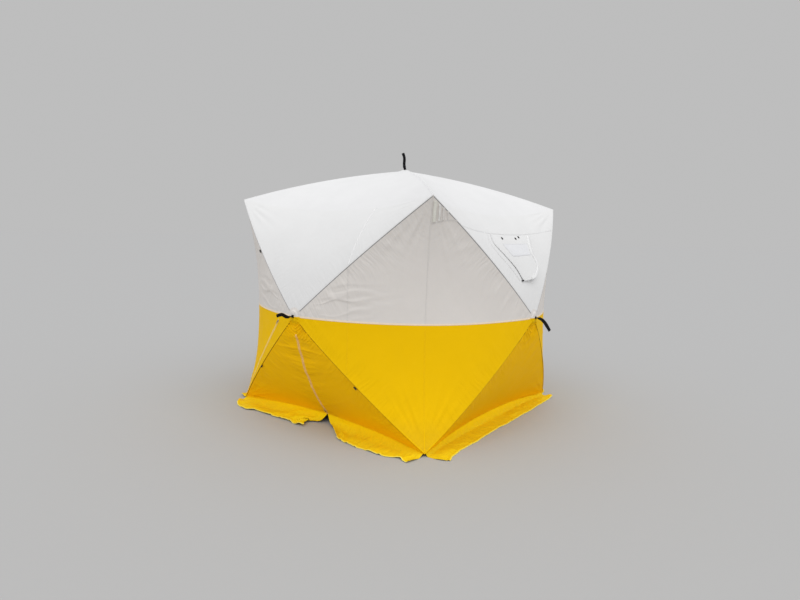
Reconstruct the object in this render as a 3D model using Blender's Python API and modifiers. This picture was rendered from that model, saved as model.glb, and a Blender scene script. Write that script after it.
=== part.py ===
"""Pop-up work tent: five hubs, twenty pin-jointed poles and a two-colour fabric cover.

X runs to the right along the front wall, Y runs from the front wall to the back wall, Z is up.
The origin is on the ground in the middle of the plan. The front wall holds the zipped door and
faces -Y. The right wall holds the vent flap and faces +X. All sizes are in metres.
Each face is a shallow pyramid: a hub pushed out in the middle and a pole to each of its corners.
"""

import math

import bmesh
import bpy
from mathutils import Matrix, Vector

# Overall frame
HALF_WIDTH = 0.95
TOP_CORNER_HEIGHT = 1.70
BOTTOM_CORNER_HEIGHT = 0.020
WALL_HUB_POP = 0.295
ROOF_HUB_RISE = 0.285
POLE_BOW = 0.035

# Cover
COVER_THICKNESS = 0.0012
SEAM_GAP = 0.00105
SEAM_CLOSING_SHARE = 0.45
EDGE_SAG = 0.130
EDGE_SAG_POWER_SHARE = 2.6
HEM_RISE = 0.045
HEM_DRAW = 0.050
HUB_OPENING = 0.022
ROW_SHARES = (0.0, 0.07, 0.17, 0.29, 0.43, 0.59, 0.78, 1.0)
PANEL_COLUMNS = 6

# Hub, measured from the cover's peak along the hub's axis
HUB_RADIUS = 0.042
HUB_TOP_DEPTH = 0.0125
HUB_HEIGHT = 0.024
HUB_EDGE = 0.002
HUB_BELLY = 0.003
HUB_NECK_RADIUS = 0.013
HUB_CAP_RADIUS = 0.036
HUB_CAP_RIM = 0.0022
HUB_CAP_CROWN = 0.0045
HUB_CAP_CLEARANCE = 0.0005
HUB_CAP_SHARES = ((0.35, 0.12), (0.70, 0.50))
HUB_BELLY_SHARES = (0.45, 0.80)
HUB_TURN_STEPS = 18
PIN_CIRCLE_RADIUS = 0.029
PIN_RADIUS = 0.003
PIN_BITE = 0.004
SLOT_CLEARANCE = 0.0007
SLOT_FLOOR = 0.0035
CUT_OVERRUN = 0.004

# Pole
ROD_RADIUS = 0.005
ROD_POINTS = 6
KNUCKLE_RADIUS = 0.0078
KNUCKLE_WIDTH = 0.0130
PIN_CLEARANCE = 0.0004
FERRULE_START = 0.0050
FERRULE_LENGTH = 0.052
FERRULE_STEP = 0.002
FERRULE_START_RADIUS = 0.0063
FERRULE_END_RADIUS = 0.0059
TIP_RADIUS = 0.0068
TIP_LENGTH = 0.034
TIP_ROUND_SHARES = ((0.7, 0.7), (1.0, 0.25))
TIP_SETBACK = 0.045
PIN_SIDES = 8
EYE_SIDES = 16

# Corner pockets
POCKET_REACH = 0.085
POCKET_THICKNESS = 0.0015
POCKET_CLEARANCE = 0.0006
TIP_CLEARANCE = 0.0005
POCKET_FALL_SHARE = 0.22

# Ground skirt
SKIRT_THICKNESS = 0.0020
SKIRT_WIDTH = 0.165
SKIRT_FOOT = 0.030
SKIRT_WAVE = 0.011
SKIRT_RIPPLE = 0.010
SKIRT_LIP = 0.012
SKIRT_END = 0.014
SKIRT_GAP = 0.0006
SKIRT_COLUMNS = 22
SKIRT_FLAT_SHARE = 0.62
SKIRT_PHASE_SHARES = {"front": 0.4, "right": 0.9, "back": 2.3, "left": 3.6}
GUSSET_LEG = 0.100
GUSSET_THICKNESS = 0.0030
GUSSET_DROP = 0.0003
GUSSET_INSET = 0.0032

# Door
DOOR_HEAD_SHARE = 0.81
DOOR_COLUMNS = 9
ZIP_GAP = 0.0010
ZIP_SPREAD_SHARE = 0.022
ZIP_FOOT_SHARE = 0.2
DOOR_GROUND_CLEARANCE = 0.0004
SLIDER_LENGTH = 0.022
SLIDER_WIDTH = 0.011
SLIDER_HEIGHT = 0.006
SLIDER_GAP = 0.0009
SLIDER_TAB_LENGTH = 0.030
SLIDER_TAB_WIDTH = 0.007
SLIDER_TAB_THICKNESS = 0.0016
SLIDER_REST_SHARE = 0.03
SLIDER_TOP_SHARE = 0.775

# Vent flap, as shares of the right wall's top panel
VENT_ROWS = 7
VENT_COLUMNS = 6
VENT_TOP_SHARE = 0.235
VENT_FOOT_SHARE = 0.585
VENT_LEFT_SHARES = (0.300, 0.455)
VENT_RIGHT_SHARES = (0.650, 0.760)
VENT_LIFT = 0.0006
VENT_BULGE = 0.026
VENT_THICKNESS = 0.0016
VENT_ROUND_SHARE = 0.22
VENT_BULGE_EDGE_SHARE = 0.35
VENT_BULGE_LEFT_SHARE = 0.40

# Pull straps
STRAP_WIDTH = 0.025
STRAP_THICKNESS = 0.0034
STRAP_LENGTH = 0.150
STRAP_FOOT = 0.016
STRAP_GAP = 0.0004
STRAP_POINTS = 12
STRAP_CURL = 0.006
STRAP_SWING_SHARE = 0.12
STRAP_DROOP_POWER_SHARE = 1.6
STRAP_DROOP_LOSS_SHARE = 0.45
STRAP_LEAN_SHARES = {
    "roof": (-1, 0.10),
    "front": (-1, -0.10),
    "right": (1, 0.85),
    "back": (-1, -0.10),
    "left": (1, 0.85),
}

# Tolerances: the weld between points, and shares for directions and steps that count as the same
WELD = 0.00001
CREASE_ANGLE = math.radians(35)
CLOTH_CREASE_ANGLE = math.radians(60)
SAME_WAY_SHARE = 0.1
LEVEL_SHARE = 0.001
PROBE_SHARE = 0.01

CLOTH_WHITE = (0.86, 0.865, 0.875)
CLOTH_YELLOW = (0.84, 0.56, 0.005)
CLOTH_SKIRT = (0.90, 0.62, 0.010)
WEB_BLACK = (0.012, 0.012, 0.013)
HUB_BLACK = (0.020, 0.021, 0.023)
POLE_GREY = (0.055, 0.058, 0.062)
POCKET_WHITE = (0.74, 0.74, 0.75)
ZIP_METAL = (0.42, 0.40, 0.36)

SIDES = ("top", "bottom", "left", "right")
SIDE_SIGNS = {"top": (0, 1), "bottom": (0, -1), "left": (-1, 0), "right": (1, 0)}


class Face:
    """One face of the tent: a frame of axes, half sizes and the height of its hub."""

    def __init__(self, name, centre, normal, across, up, half_up, pop):
        self.name = name
        self.centre = Vector(centre)
        self.normal = Vector(normal)
        self.across = Vector(across)
        self.up = Vector(up)
        self.half_across = HALF_WIDTH
        self.half_up = half_up
        self.pop = pop

    def point(self, across, up, out):
        return self.centre + self.across * across + self.up * up + self.normal * out

    def corner(self, signs):
        return self.point(signs[0] * self.half_across, signs[1] * self.half_up, 0)

    def peak(self):
        return self.point(0, 0, self.pop)

    def diagonal(self, signs):
        """The direction in the face's plane from its middle to a corner, and its length."""
        way = self.across * (signs[0] * self.half_across) + self.up * (signs[1] * self.half_up)
        return way.normalized(), way.length

    def least_half(self):
        return min(self.half_across, self.half_up)


def wall(name, normal):
    half_up = (TOP_CORNER_HEIGHT - BOTTOM_CORNER_HEIGHT) / 2
    normal = Vector(normal)
    centre = normal * HALF_WIDTH
    centre.z = BOTTOM_CORNER_HEIGHT + half_up
    across = Vector((-normal.y, normal.x, 0))
    return Face(name, centre, normal, across, (0, 0, 1), half_up, WALL_HUB_POP)


FACES = (
    Face("roof", (0, 0, TOP_CORNER_HEIGHT), (0, 0, 1), (1, 0, 0), (0, 1, 0), HALF_WIDTH, ROOF_HUB_RISE),
    wall("front", (0, -1, 0)),
    wall("right", (1, 0, 0)),
    wall("back", (0, 1, 0)),
    wall("left", (-1, 0, 0)),
)
ROOF, FRONT, RIGHT, BACK, LEFT = FACES
WALLS = FACES[1:]
CORNER_SIGNS = ((-1, -1), (1, -1), (1, 1), (-1, 1))


def side_corners(side):
    """The signs of a side's two corners, from its start to its end."""
    x, y = SIDE_SIGNS[side]
    if x:
        return (x, -1), (x, 1)
    return (-1, y), (1, y)


def side_normal(face, side):
    x, y = SIDE_SIGNS[side]
    return face.across * x + face.up * y


def side_half(face, side):
    """The distance from the face's middle to one of its sides."""
    return face.half_across if SIDE_SIGNS[side][0] else face.half_up


def side_sag(face, side):
    """How far the middle of a side is drawn in, as a vector."""
    if side == "bottom" and face is not ROOF:
        return face.up * HEM_RISE - face.normal * HEM_DRAW
    return -(face.normal + side_normal(face, side)).normalized() * EDGE_SAG


def arch(share):
    return 4 * share * (1 - share)


def pole_line(face, signs, share):
    """A point of the cover above a pole, from its corner at share 0 to the hub at share 1."""
    way, length = face.diagonal(signs)
    bow = (face.normal * length + way * face.pop).normalized() * POLE_BOW
    return face.corner(signs).lerp(face.peak(), share) + bow * arch(share)


def panel_point(face, side, share, along):
    """A point of a panel, at a share of the way to the hub and a share of the way along its side."""
    start, end = side_corners(side)
    line = pole_line(face, start, share).lerp(pole_line(face, end, share), along)
    return line + side_sag(face, side) * (arch(along) * (1 - share) ** EDGE_SAG_POWER_SHARE)


def panel_normal(face, side, share, along):
    step = min(PROBE_SHARE, (1 - share) / 2)
    here = panel_point(face, side, share, along)
    up = panel_point(face, side, share + step, along) - here
    on = panel_point(face, side, share, min(along + step, 1)) - panel_point(
        face, side, share, max(along - step, 0)
    )
    normal = up.cross(on).normalized()
    return normal if normal.dot(face.normal) > 0 else -normal


def seam_share(face, side, share):
    """The share of a row that the seam gap takes at each end of it."""
    across = side_half(face, side)
    along = face.half_up if SIDE_SIGNS[side][0] else face.half_across
    slant = across / math.hypot(across, along)
    gap = SEAM_GAP * (1 - SEAM_CLOSING_SHARE * share)
    return gap / slant / (2 * along * (1 - share))


def row_shares(face, low, high):
    return [low + (high - low) * share for share in ROW_SHARES]


def panel_start(face):
    return SEAM_GAP / face.least_half()


def panel_end(face):
    return 1 - HUB_OPENING / face.least_half()


# Objects and meshes


def clear_scene():
    for item in list(bpy.data.objects):
        bpy.data.objects.remove(item, do_unlink=True)


def collection(name):
    made = bpy.data.collections.new(name)
    bpy.context.scene.collection.children.link(made)
    return made


def paint(name, colour, roughness, metallic=0.0):
    made = bpy.data.materials.new(name)
    made.use_nodes = True
    shader = made.node_tree.nodes["Principled BSDF"]
    shader.inputs["Base Color"].default_value = (*colour, 1.0)
    shader.inputs["Roughness"].default_value = roughness
    shader.inputs["Metallic"].default_value = metallic
    made.diffuse_color = (*colour, 1.0)
    return made


def add_object(name, mesh, group):
    item = bpy.data.objects.new(name, mesh)
    group.objects.link(item)
    return item


def mesh_from(name, build):
    """A mesh made by calling build on an empty bmesh."""
    shape = bmesh.new()
    build(shape)
    mesh = bpy.data.meshes.new(name)
    shape.to_mesh(mesh)
    shape.free()
    return mesh


def freeze(item):
    """Apply an object's modifiers and keep it as a plain mesh."""
    graph = bpy.context.evaluated_depsgraph_get()
    graph.update()
    mesh = bpy.data.meshes.new_from_object(item.evaluated_get(graph))
    item.modifiers.clear()
    item.data = mesh
    return item


def combine(item, other, operation):
    """Join or cut an object with another by an exact boolean, and drop the other."""
    step = item.modifiers.new(operation.title(), "BOOLEAN")
    step.operation = operation
    step.solver = "EXACT"
    step.object = other
    freeze(item)
    bpy.data.objects.remove(other, do_unlink=True)
    return item


def smooth(item, angle):
    item.data.shade_smooth()
    item.data.set_sharp_from_angle(angle=angle)
    return item


def sheet(name, grid, outward, thickness, group, offset=-1.0):
    """A thin shell over a grid of points, thickened away from the outward side."""

    def build(shape):
        rows = [[shape.verts.new(point) for point in row] for row in grid]
        for low, high in zip(rows, rows[1:]):
            for a, b, c, d in zip(low, low[1:], high[1:], high):
                shape.faces.new((a, b, c, d))
        bmesh.ops.triangulate(shape, faces=shape.faces[:])
        shape.normal_update()
        facing = sum((f.normal * f.calc_area() for f in shape.faces), Vector())
        if facing.dot(outward) < 0:
            bmesh.ops.reverse_faces(shape, faces=shape.faces[:])

    item = add_object(name, mesh_from(name, build), group)
    shell = item.modifiers.new("Shell", "SOLIDIFY")
    shell.thickness = thickness
    shell.offset = offset
    shell.use_even_offset = True
    return freeze(item)


# Kinematics shared by the hubs, the poles and the pockets


def pin_point(face, signs):
    """The pole's pin in the hub."""
    way, _ = face.diagonal(signs)
    return face.peak() + way * PIN_CIRCLE_RADIUS - face.normal * pin_depth()


def pin_depth():
    return HUB_TOP_DEPTH + HUB_HEIGHT / 2


def corner_ways(face, signs, reach):
    """The directions that leave a corner in one face: along one side, the pole and the other side."""
    corner = face.corner(signs)
    _, length = face.diagonal(signs)
    ways = []
    for side in SIDES:
        if signs not in side_corners(side):
            continue
        ends = side_corners(side)
        other = ends[1] if ends[0] == signs else ends[0]
        run = face.corner(other) - corner + side_sag(face, side) * 4
        ways.append((side, run.normalized()))
    share = reach / math.hypot(length, face.pop)
    pole = (pole_line(face, signs, share) - corner).normalized()
    return ways, pole


def pocket_planes(corner, ways):
    """Outward normals of the planes between neighbouring directions, and the inward axis."""
    axis = sum(ways, Vector()).normalized()
    normals = []
    for first, second in zip(ways, ways[1:]):
        normal = first.cross(second).normalized()
        normals.append(normal if normal.dot(axis) < 0 else -normal)
    return normals, axis


def pocket_shift(normals, axis):
    """How far the pocket's point lies inside the cover's, so that it clears the cover."""
    depth = COVER_THICKNESS + POCKET_CLEARANCE
    return axis * max(depth / -axis.dot(normal) for normal in normals)


def faces_at(x, y, z):
    """The faces that meet at a corner of the tent, each with the corner's signs in that face."""
    place = Vector((x * HALF_WIDTH, y * HALF_WIDTH, TOP_CORNER_HEIGHT if z > 0 else BOTTOM_CORNER_HEIGHT))
    found = []
    for face in FACES:
        for signs in CORNER_SIGNS:
            if (face.corner(signs) - place).length < SEAM_GAP:
                found.append((face, signs))
    return place, found


def around_corner(x, y, z):
    """The directions that leave a corner, in order round it. A top corner's list closes on itself."""
    place, found = faces_at(x, y, z)
    chains = []
    for face, signs in found:
        ways, pole = corner_ways(face, signs, POCKET_REACH)
        chains.append((ways[0][1], pole, ways[1][1]))
    ordered = list(chains.pop(0))
    if z < 0:
        last = chains[0]
        if (ordered[0] - last[0]).length < SAME_WAY_SHARE or (ordered[0] - last[2]).length < SAME_WAY_SHARE:
            ordered.reverse()
    while chains:
        for chain in chains:
            if (chain[0] - ordered[-1]).length < SAME_WAY_SHARE:
                break
            if (chain[2] - ordered[-1]).length < SAME_WAY_SHARE:
                break
        chains.remove(chain)
        if (chain[2] - ordered[-1]).length < SAME_WAY_SHARE:
            chain = chain[::-1]
        ordered += chain[1:]
    return place, ordered


def tip_point(face, signs):
    """Where the middle of a pole's rounded tip rests in the pocket at the top corners.

    The bottom corners use the same place in the face, mirrored, so all of a face's poles are alike.
    """
    top = (signs[0], 1)
    corner = face.corner(top)
    x = 1 if corner.x > 0 else -1
    y = 1 if corner.y > 0 else -1
    _, ways = around_corner(x, y, 1)
    normals, axis = pocket_planes(corner, ways)
    shift = pocket_shift(normals, axis)
    _, pole = corner_ways(face, top, POCKET_REACH)
    way, _ = face.diagonal(top)
    inward = -(face.normal - pole * face.normal.dot(pole)).normalized()
    depth = max(
        (POCKET_THICKNESS + TIP_RADIUS + TIP_CLEARANCE + shift.dot(-normal)) / inward.dot(-normal)
        for normal in normals
        if abs(normal.dot(pole)) < LEVEL_SHARE
    )
    place = corner + pole * TIP_SETBACK + inward * depth - face.centre
    out = place.dot(face.normal)
    along = place.dot(way)
    way, _ = face.diagonal(signs)
    return face.centre + way * along + face.normal * out


def pole_axes(face, signs):
    """A pole's length from pin to tip, and its directions: along it, its pin's axis and outward."""
    run = tip_point(face, signs) - pin_point(face, signs)
    along = run.normalized()
    way, _ = face.diagonal(signs)
    pin = way.cross(face.normal).normalized()
    return run.length, along, pin, along.cross(pin) * -1


def hub_travel(face):
    """The hub's slide, from pushed out to the same height the other side of the pole tips."""
    signs = CORNER_SIGNS[0]
    drop = (pin_point(face, signs) - tip_point(face, signs)).dot(face.normal)
    return 2 * drop


def pole_turn(face):
    """The angle that a pole turns through while its hub makes its full travel."""
    length, _, _, _ = pole_axes(face, CORNER_SIGNS[0])
    return 2 * math.asin(hub_travel(face) / 2 / length)


def panel_turn(face, side):
    """The angle that a panel turns through about its side while the hub makes its full travel."""
    half = side_half(face, side)
    return math.atan2(face.pop, half) + math.asin(
        (hub_travel(face) - face.pop) / math.hypot(half, face.pop)
    )


# Hubs


def hub_slope(face):
    """The slope of the cover along a pole where it leaves the hub."""
    way, length = face.diagonal(CORNER_SIGNS[0])
    share = HUB_OPENING / length
    fall = face.peak() - pole_line(face, CORNER_SIGNS[0], 1 - share)
    return fall.dot(face.normal) / -fall.dot(way)


def turned(name, profile, steps, group):
    """A turned solid from a profile of radius and height, top to bottom."""

    def build(shape):
        verts = [shape.verts.new((radius, 0, height)) for radius, height in profile]
        for first, second in zip(verts, verts[1:]):
            shape.edges.new((first, second))

    item = add_object(name, mesh_from(name, build), group)
    screw = item.modifiers.new("Turn", "SCREW")
    screw.steps = steps
    screw.render_steps = steps
    screw.use_merge_vertices = True
    screw.merge_threshold = WELD
    screw.use_normal_calculate = True
    return freeze(item)


def box(name, low, high, group):
    def build(shape):
        bmesh.ops.create_cube(shape, size=1)
        size = [b - a for a, b in zip(low, high)]
        bmesh.ops.scale(shape, vec=size, verts=shape.verts)
        middle = [(a + b) / 2 for a, b in zip(low, high)]
        bmesh.ops.translate(shape, vec=middle, verts=shape.verts)

    return add_object(name, mesh_from(name, build), group)


def rod(name, radius, end_radius, start, end, sides, group):
    """A straight round bar or cone from one point to another."""
    run = Vector(end) - Vector(start)
    turn = run.to_track_quat("Z", "Y").to_matrix().to_4x4()
    place = Matrix.Translation((Vector(start) + Vector(end)) / 2) @ turn

    def build(shape):
        bmesh.ops.create_cone(
            shape,
            cap_ends=True,
            segments=sides,
            radius1=radius,
            radius2=end_radius,
            depth=run.length,
            matrix=place,
        )

    return add_object(name, mesh_from(name, build), group)


def hub_profile(slope):
    """The hub's outline: a shallow cap over the cover, a neck through it and a body under it."""
    under_rim = HUB_CAP_CLEARANCE - HUB_CAP_RADIUS * slope
    under_neck = HUB_CAP_CLEARANCE - HUB_NECK_RADIUS * slope
    crown = under_neck + HUB_CAP_RIM + HUB_CAP_CROWN
    shoulder = under_rim + HUB_CAP_RIM
    foot = -HUB_TOP_DEPTH - HUB_HEIGHT
    dome = [(HUB_CAP_RADIUS * out, crown - HUB_CAP_CROWN * fall) for out, fall in HUB_CAP_SHARES]
    return [
        (0, crown),
        *dome,
        (HUB_CAP_RADIUS, shoulder),
        (HUB_CAP_RADIUS, under_rim),
        (HUB_NECK_RADIUS, under_neck),
        (HUB_NECK_RADIUS, -HUB_TOP_DEPTH),
        (HUB_RADIUS - HUB_EDGE, -HUB_TOP_DEPTH),
        (HUB_RADIUS, -HUB_TOP_DEPTH - HUB_EDGE),
        (HUB_RADIUS, foot + HUB_EDGE),
        (HUB_RADIUS - HUB_EDGE, foot),
        (HUB_RADIUS * HUB_BELLY_SHARES[0], foot - HUB_BELLY * HUB_BELLY_SHARES[1]),
        (0, foot - HUB_BELLY),
    ]


def slot_start():
    return PIN_CIRCLE_RADIUS - KNUCKLE_RADIUS - SLOT_FLOOR


def hub_mesh(face, group):
    """A hub with a pinned slot for each pole. Its axis is Z, and X runs across the face."""
    hub = turned("hub_body", hub_profile(hub_slope(face)), HUB_TURN_STEPS, group)
    half = KNUCKLE_WIDTH / 2 + SLOT_CLEARANCE
    low = -HUB_TOP_DEPTH - HUB_HEIGHT - HUB_BELLY - CUT_OVERRUN
    high = -HUB_TOP_DEPTH + CUT_OVERRUN
    for signs in CORNER_SIGNS:
        angle = math.atan2(signs[1] * face.half_up, signs[0] * face.half_across)
        turn = Matrix.Rotation(angle, 4, "Z")
        slot = box("slot", (slot_start(), -half, low), (HUB_RADIUS + CUT_OVERRUN, half, high), group)
        slot.data.transform(turn)
        combine(hub, slot, "DIFFERENCE")
    for signs in CORNER_SIGNS:
        angle = math.atan2(signs[1] * face.half_up, signs[0] * face.half_across)
        turn = Matrix.Rotation(angle, 4, "Z")
        reach = half + PIN_BITE
        ends = [(PIN_CIRCLE_RADIUS, side * reach, -pin_depth()) for side in (-1, 1)]
        pin = rod("pin", PIN_RADIUS, PIN_RADIUS, ends[0], ends[1], PIN_SIDES, group)
        pin.data.transform(turn)
        combine(hub, pin, "UNION")
    smooth(hub, CREASE_ANGLE)
    mesh = hub.data
    bpy.data.objects.remove(hub, do_unlink=True)
    return mesh


def face_matrix(face, origin):
    turn = Matrix((face.across, face.up, face.normal)).transposed().to_4x4()
    return Matrix.Translation(origin) @ turn


def build_hubs(parts, guides, black):
    meshes = {}
    for face in FACES:
        kind = "roof" if face is ROOF else "wall"
        if kind not in meshes:
            meshes[kind] = hub_mesh(face, guides)
            meshes[kind].materials.append(black)
        hub = add_object(f"{face.name}_hub", meshes[kind], parts)
        hub.matrix_world = face_matrix(face, face.peak())


# Poles


def bowed(length, share):
    """A point of a pole's middle line in its own frame: X along it, Z on the bowed side."""
    return Vector((length * share, 0, POLE_BOW * arch(share)))


def pole_stations(length):
    """Distances from the pin and radii along a pole: ferrule, bare rod, tip collar and rounded end."""
    last = length - TIP_LENGTH
    stations = [
        (FERRULE_START, FERRULE_START_RADIUS),
        (FERRULE_LENGTH, FERRULE_END_RADIUS),
        (FERRULE_LENGTH + FERRULE_STEP, ROD_RADIUS),
    ]
    for number in range(1, ROD_POINTS):
        share = number / ROD_POINTS
        stations.append((FERRULE_LENGTH + (last - FERRULE_LENGTH) * share, ROD_RADIUS))
    stations += [(last - FERRULE_STEP, ROD_RADIUS), (last, TIP_RADIUS), (length, TIP_RADIUS)]
    for reach, narrow in TIP_ROUND_SHARES:
        stations.append((length + TIP_RADIUS * reach, TIP_RADIUS * narrow))
    return stations


def pole_mesh(length, group):
    """A bowed rod with a pinned knuckle at its start and a rounded tip at its end."""
    line = bpy.data.curves.new("line", "CURVE")
    line.dimensions = "3D"
    line.bevel_depth = ROD_RADIUS
    line.bevel_resolution = 2
    line.use_fill_caps = True
    stations = pole_stations(length)
    spline = line.splines.new("POLY")
    spline.points.add(len(stations) - 1)
    for point, (distance, radius) in zip(spline.points, stations):
        point.co = (*bowed(length, distance / length), 1)
        point.radius = radius / ROD_RADIUS
    curve = add_object("rod_line", line, group)
    pole = add_object("rod", curve_mesh(curve), group)
    bpy.data.objects.remove(curve, do_unlink=True)

    half = KNUCKLE_WIDTH / 2
    eye = rod("eye", KNUCKLE_RADIUS, KNUCKLE_RADIUS, (0, -half, 0), (0, half, 0), EYE_SIDES, group)
    combine(pole, eye, "UNION")
    reach = half + CUT_OVERRUN
    bore_radius = PIN_RADIUS + PIN_CLEARANCE
    bore = rod("bore", bore_radius, bore_radius, (0, -reach, 0), (0, reach, 0), PIN_SIDES, group)
    combine(pole, bore, "DIFFERENCE")
    smooth(pole, CREASE_ANGLE)
    mesh = pole.data
    bpy.data.objects.remove(pole, do_unlink=True)
    return mesh


def curve_mesh(curve):
    """The mesh of a curve object, with its caps welded on."""
    graph = bpy.context.evaluated_depsgraph_get()
    graph.update()
    mesh = bpy.data.meshes.new_from_object(curve.evaluated_get(graph))
    shape = bmesh.new()
    shape.from_mesh(mesh)
    bmesh.ops.remove_doubles(shape, verts=shape.verts, dist=WELD)
    bmesh.ops.recalc_face_normals(shape, faces=shape.faces)
    shape.to_mesh(mesh)
    shape.free()
    return mesh


def pole_name(face, signs):
    upright = "top" if signs[1] > 0 else "bottom"
    if face is ROOF:
        upright = "back" if signs[1] > 0 else "front"
    return f"{face.name}_pole_{upright}_{'right' if signs[0] > 0 else 'left'}"


def build_poles(parts, guides, grey):
    meshes = {}
    for face in FACES:
        kind = "roof" if face is ROOF else "wall"
        for signs in CORNER_SIGNS:
            length, along, pin, outward = pole_axes(face, signs)
            if kind not in meshes:
                meshes[kind] = pole_mesh(length, guides)
                meshes[kind].materials.append(grey)
            pole = add_object(pole_name(face, signs), meshes[kind], parts)
            across = outward.cross(along)
            turn = Matrix((along, across, outward)).transposed().to_4x4()
            pole.matrix_world = Matrix.Translation(pin_point(face, signs)) @ turn


# Cover panels


def panel_name(face, side):
    if face is ROOF:
        side = {"top": "back", "bottom": "front"}.get(side, side)
    return f"{face.name}_{side}_panel"


def panel_grid(face, side, low, high, start, end, columns):
    """Rows of points from a side towards the hub, between two shares of each row."""
    grid = []
    for share in row_shares(face, low, high):
        seam = seam_share(face, side, share)
        first = max(start, seam)
        last = min(end, 1 - seam)
        grid.append(
            [
                panel_point(face, side, share, first + (last - first) * number / columns)
                for number in range(columns + 1)
            ]
        )
    return grid


def build_panels(parts, white, yellow):
    for face in FACES:
        for side in SIDES:
            if face is FRONT and side == "bottom":
                continue
            grid = panel_grid(face, side, panel_start(face), panel_end(face), 0, 1, PANEL_COLUMNS)
            panel = sheet(panel_name(face, side), grid, face.normal, COVER_THICKNESS, parts)
            colours = [white]
            if side == "bottom" and face is not ROOF:
                colours = [yellow]
            elif side in ("left", "right") and face is not ROOF:
                colours = [white, yellow]
            for colour in colours:
                panel.data.materials.append(colour)
            if len(colours) > 1:
                for part in panel.data.polygons:
                    part.material_index = int(part.center.z < face.centre.z)
            smooth(panel, CLOTH_CREASE_ANGLE)


# Door: a fixed head under the front hub, and two flaps that each carry their stretch of skirt


def wave(along, phase):
    turn = 2 * math.pi * along
    return 0.6 * math.sin(7 * turn + phase) + 0.4 * math.sin(11 * turn + 2.1 * phase)


def hem_point(face, along):
    return panel_point(face, "bottom", 0, along)


def skirt_point(face, along, out_share):
    """A point on top of the skirt, from the foot of the wall at share 0 to its free edge at 1."""
    phase = SKIRT_PHASE_SHARES[face.name]
    place = hem_point(face, along)
    across = (place - face.centre).dot(face.across)
    reach = SKIRT_FOOT + (SKIRT_WIDTH - SKIRT_FOOT + SKIRT_WAVE * wave(along, phase)) * out_share
    lift = max(0, out_share - SKIRT_FLAT_SHARE) / (1 - SKIRT_FLAT_SHARE)
    height = SKIRT_RIPPLE * lift * (0.5 + 0.5 * wave(along, phase + 1.3))
    return Vector(face.point(across, 0, reach)).to_2d().to_3d() + Vector((0, 0, height))


def build_door(parts, yellow):
    head_grid = panel_grid(
        FRONT, "bottom", DOOR_HEAD_SHARE, panel_end(FRONT), 0, 1, PANEL_COLUMNS
    )[:: 2]
    head = sheet("front_door_head", head_grid, FRONT.normal, COVER_THICKNESS, parts)
    head.data.materials.append(yellow)
    smooth(head, CLOTH_CREASE_ANGLE)
    top = DOOR_HEAD_SHARE - 2 * SEAM_GAP / FRONT.half_up
    seam_end = SEAM_GAP / FRONT.half_across
    for name, start, end in (("left", 0, 0.5), ("right", 0.5, 1)):
        grid = []
        for share in row_shares(FRONT, 0, top):
            seam = seam_share(FRONT, "bottom", share)
            zip_share = ZIP_GAP / (2 * FRONT.half_across * (1 - share))
            first = start + (seam if start == 0 else zip_share)
            last = end - (seam if end == 1 else zip_share)
            grid.append(
                [
                    panel_point(FRONT, "bottom", share, first + (last - first) * n / DOOR_COLUMNS)
                    for n in range(DOOR_COLUMNS + 1)
                ]
            )
        rise = Vector((0, 0, SKIRT_THICKNESS + DOOR_GROUND_CLEARANCE))
        skirt = []
        for out_share in (1, SKIRT_FLAT_SHARE, 0):
            spread = ZIP_SPREAD_SHARE * (out_share + ZIP_FOOT_SHARE)
            first = start + (spread if start else seam_end)
            last = end - (spread if end < 1 else seam_end)
            skirt.append(
                [
                    skirt_point(FRONT, first + (last - first) * n / DOOR_COLUMNS, out_share) + rise
                    for n in range(DOOR_COLUMNS + 1)
                ]
            )
        flap = sheet(
            f"front_door_{name}", skirt + grid, FRONT.normal, COVER_THICKNESS, parts
        )
        flap.data.materials.append(yellow)
        smooth(flap, CLOTH_CREASE_ANGLE)


def zip_point(share):
    return panel_point(FRONT, "bottom", share, 0.5)


def zip_way():
    return (zip_point(SLIDER_TOP_SHARE) - zip_point(SLIDER_REST_SHARE)).normalized()


def build_slider(parts, metal):
    """The door zip's slider with its pull tab hanging, just outside the cover."""
    origin = zip_point(SLIDER_REST_SHARE)
    reach = (SLIDER_LENGTH + SLIDER_TAB_LENGTH) / FRONT.half_up
    way = (zip_point(SLIDER_REST_SHARE + reach) - origin).normalized()
    out = panel_normal(FRONT, "bottom", SLIDER_REST_SHARE, 0.5)
    out = (out - way * out.dot(way)).normalized()
    low = SLIDER_GAP
    body = box(
        "front_zip_slider",
        (-SLIDER_WIDTH / 2, 0, low),
        (SLIDER_WIDTH / 2, SLIDER_LENGTH, low + SLIDER_HEIGHT),
        parts,
    )
    tab = box(
        "tab",
        (-SLIDER_TAB_WIDTH / 2, SLIDER_LENGTH / 3, low + SLIDER_HEIGHT - SLIDER_TAB_THICKNESS / 2),
        (
            SLIDER_TAB_WIDTH / 2,
            SLIDER_LENGTH / 3 + SLIDER_TAB_LENGTH,
            low + SLIDER_HEIGHT + SLIDER_TAB_THICKNESS,
        ),
        parts,
    )
    combine(body, tab, "UNION")
    body.data.materials.clear()
    body.data.materials.append(metal)
    turn = Matrix((way.cross(out), way, out)).transposed().to_4x4()
    body.matrix_world = Matrix.Translation(origin) @ turn


# Vent flap


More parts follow.
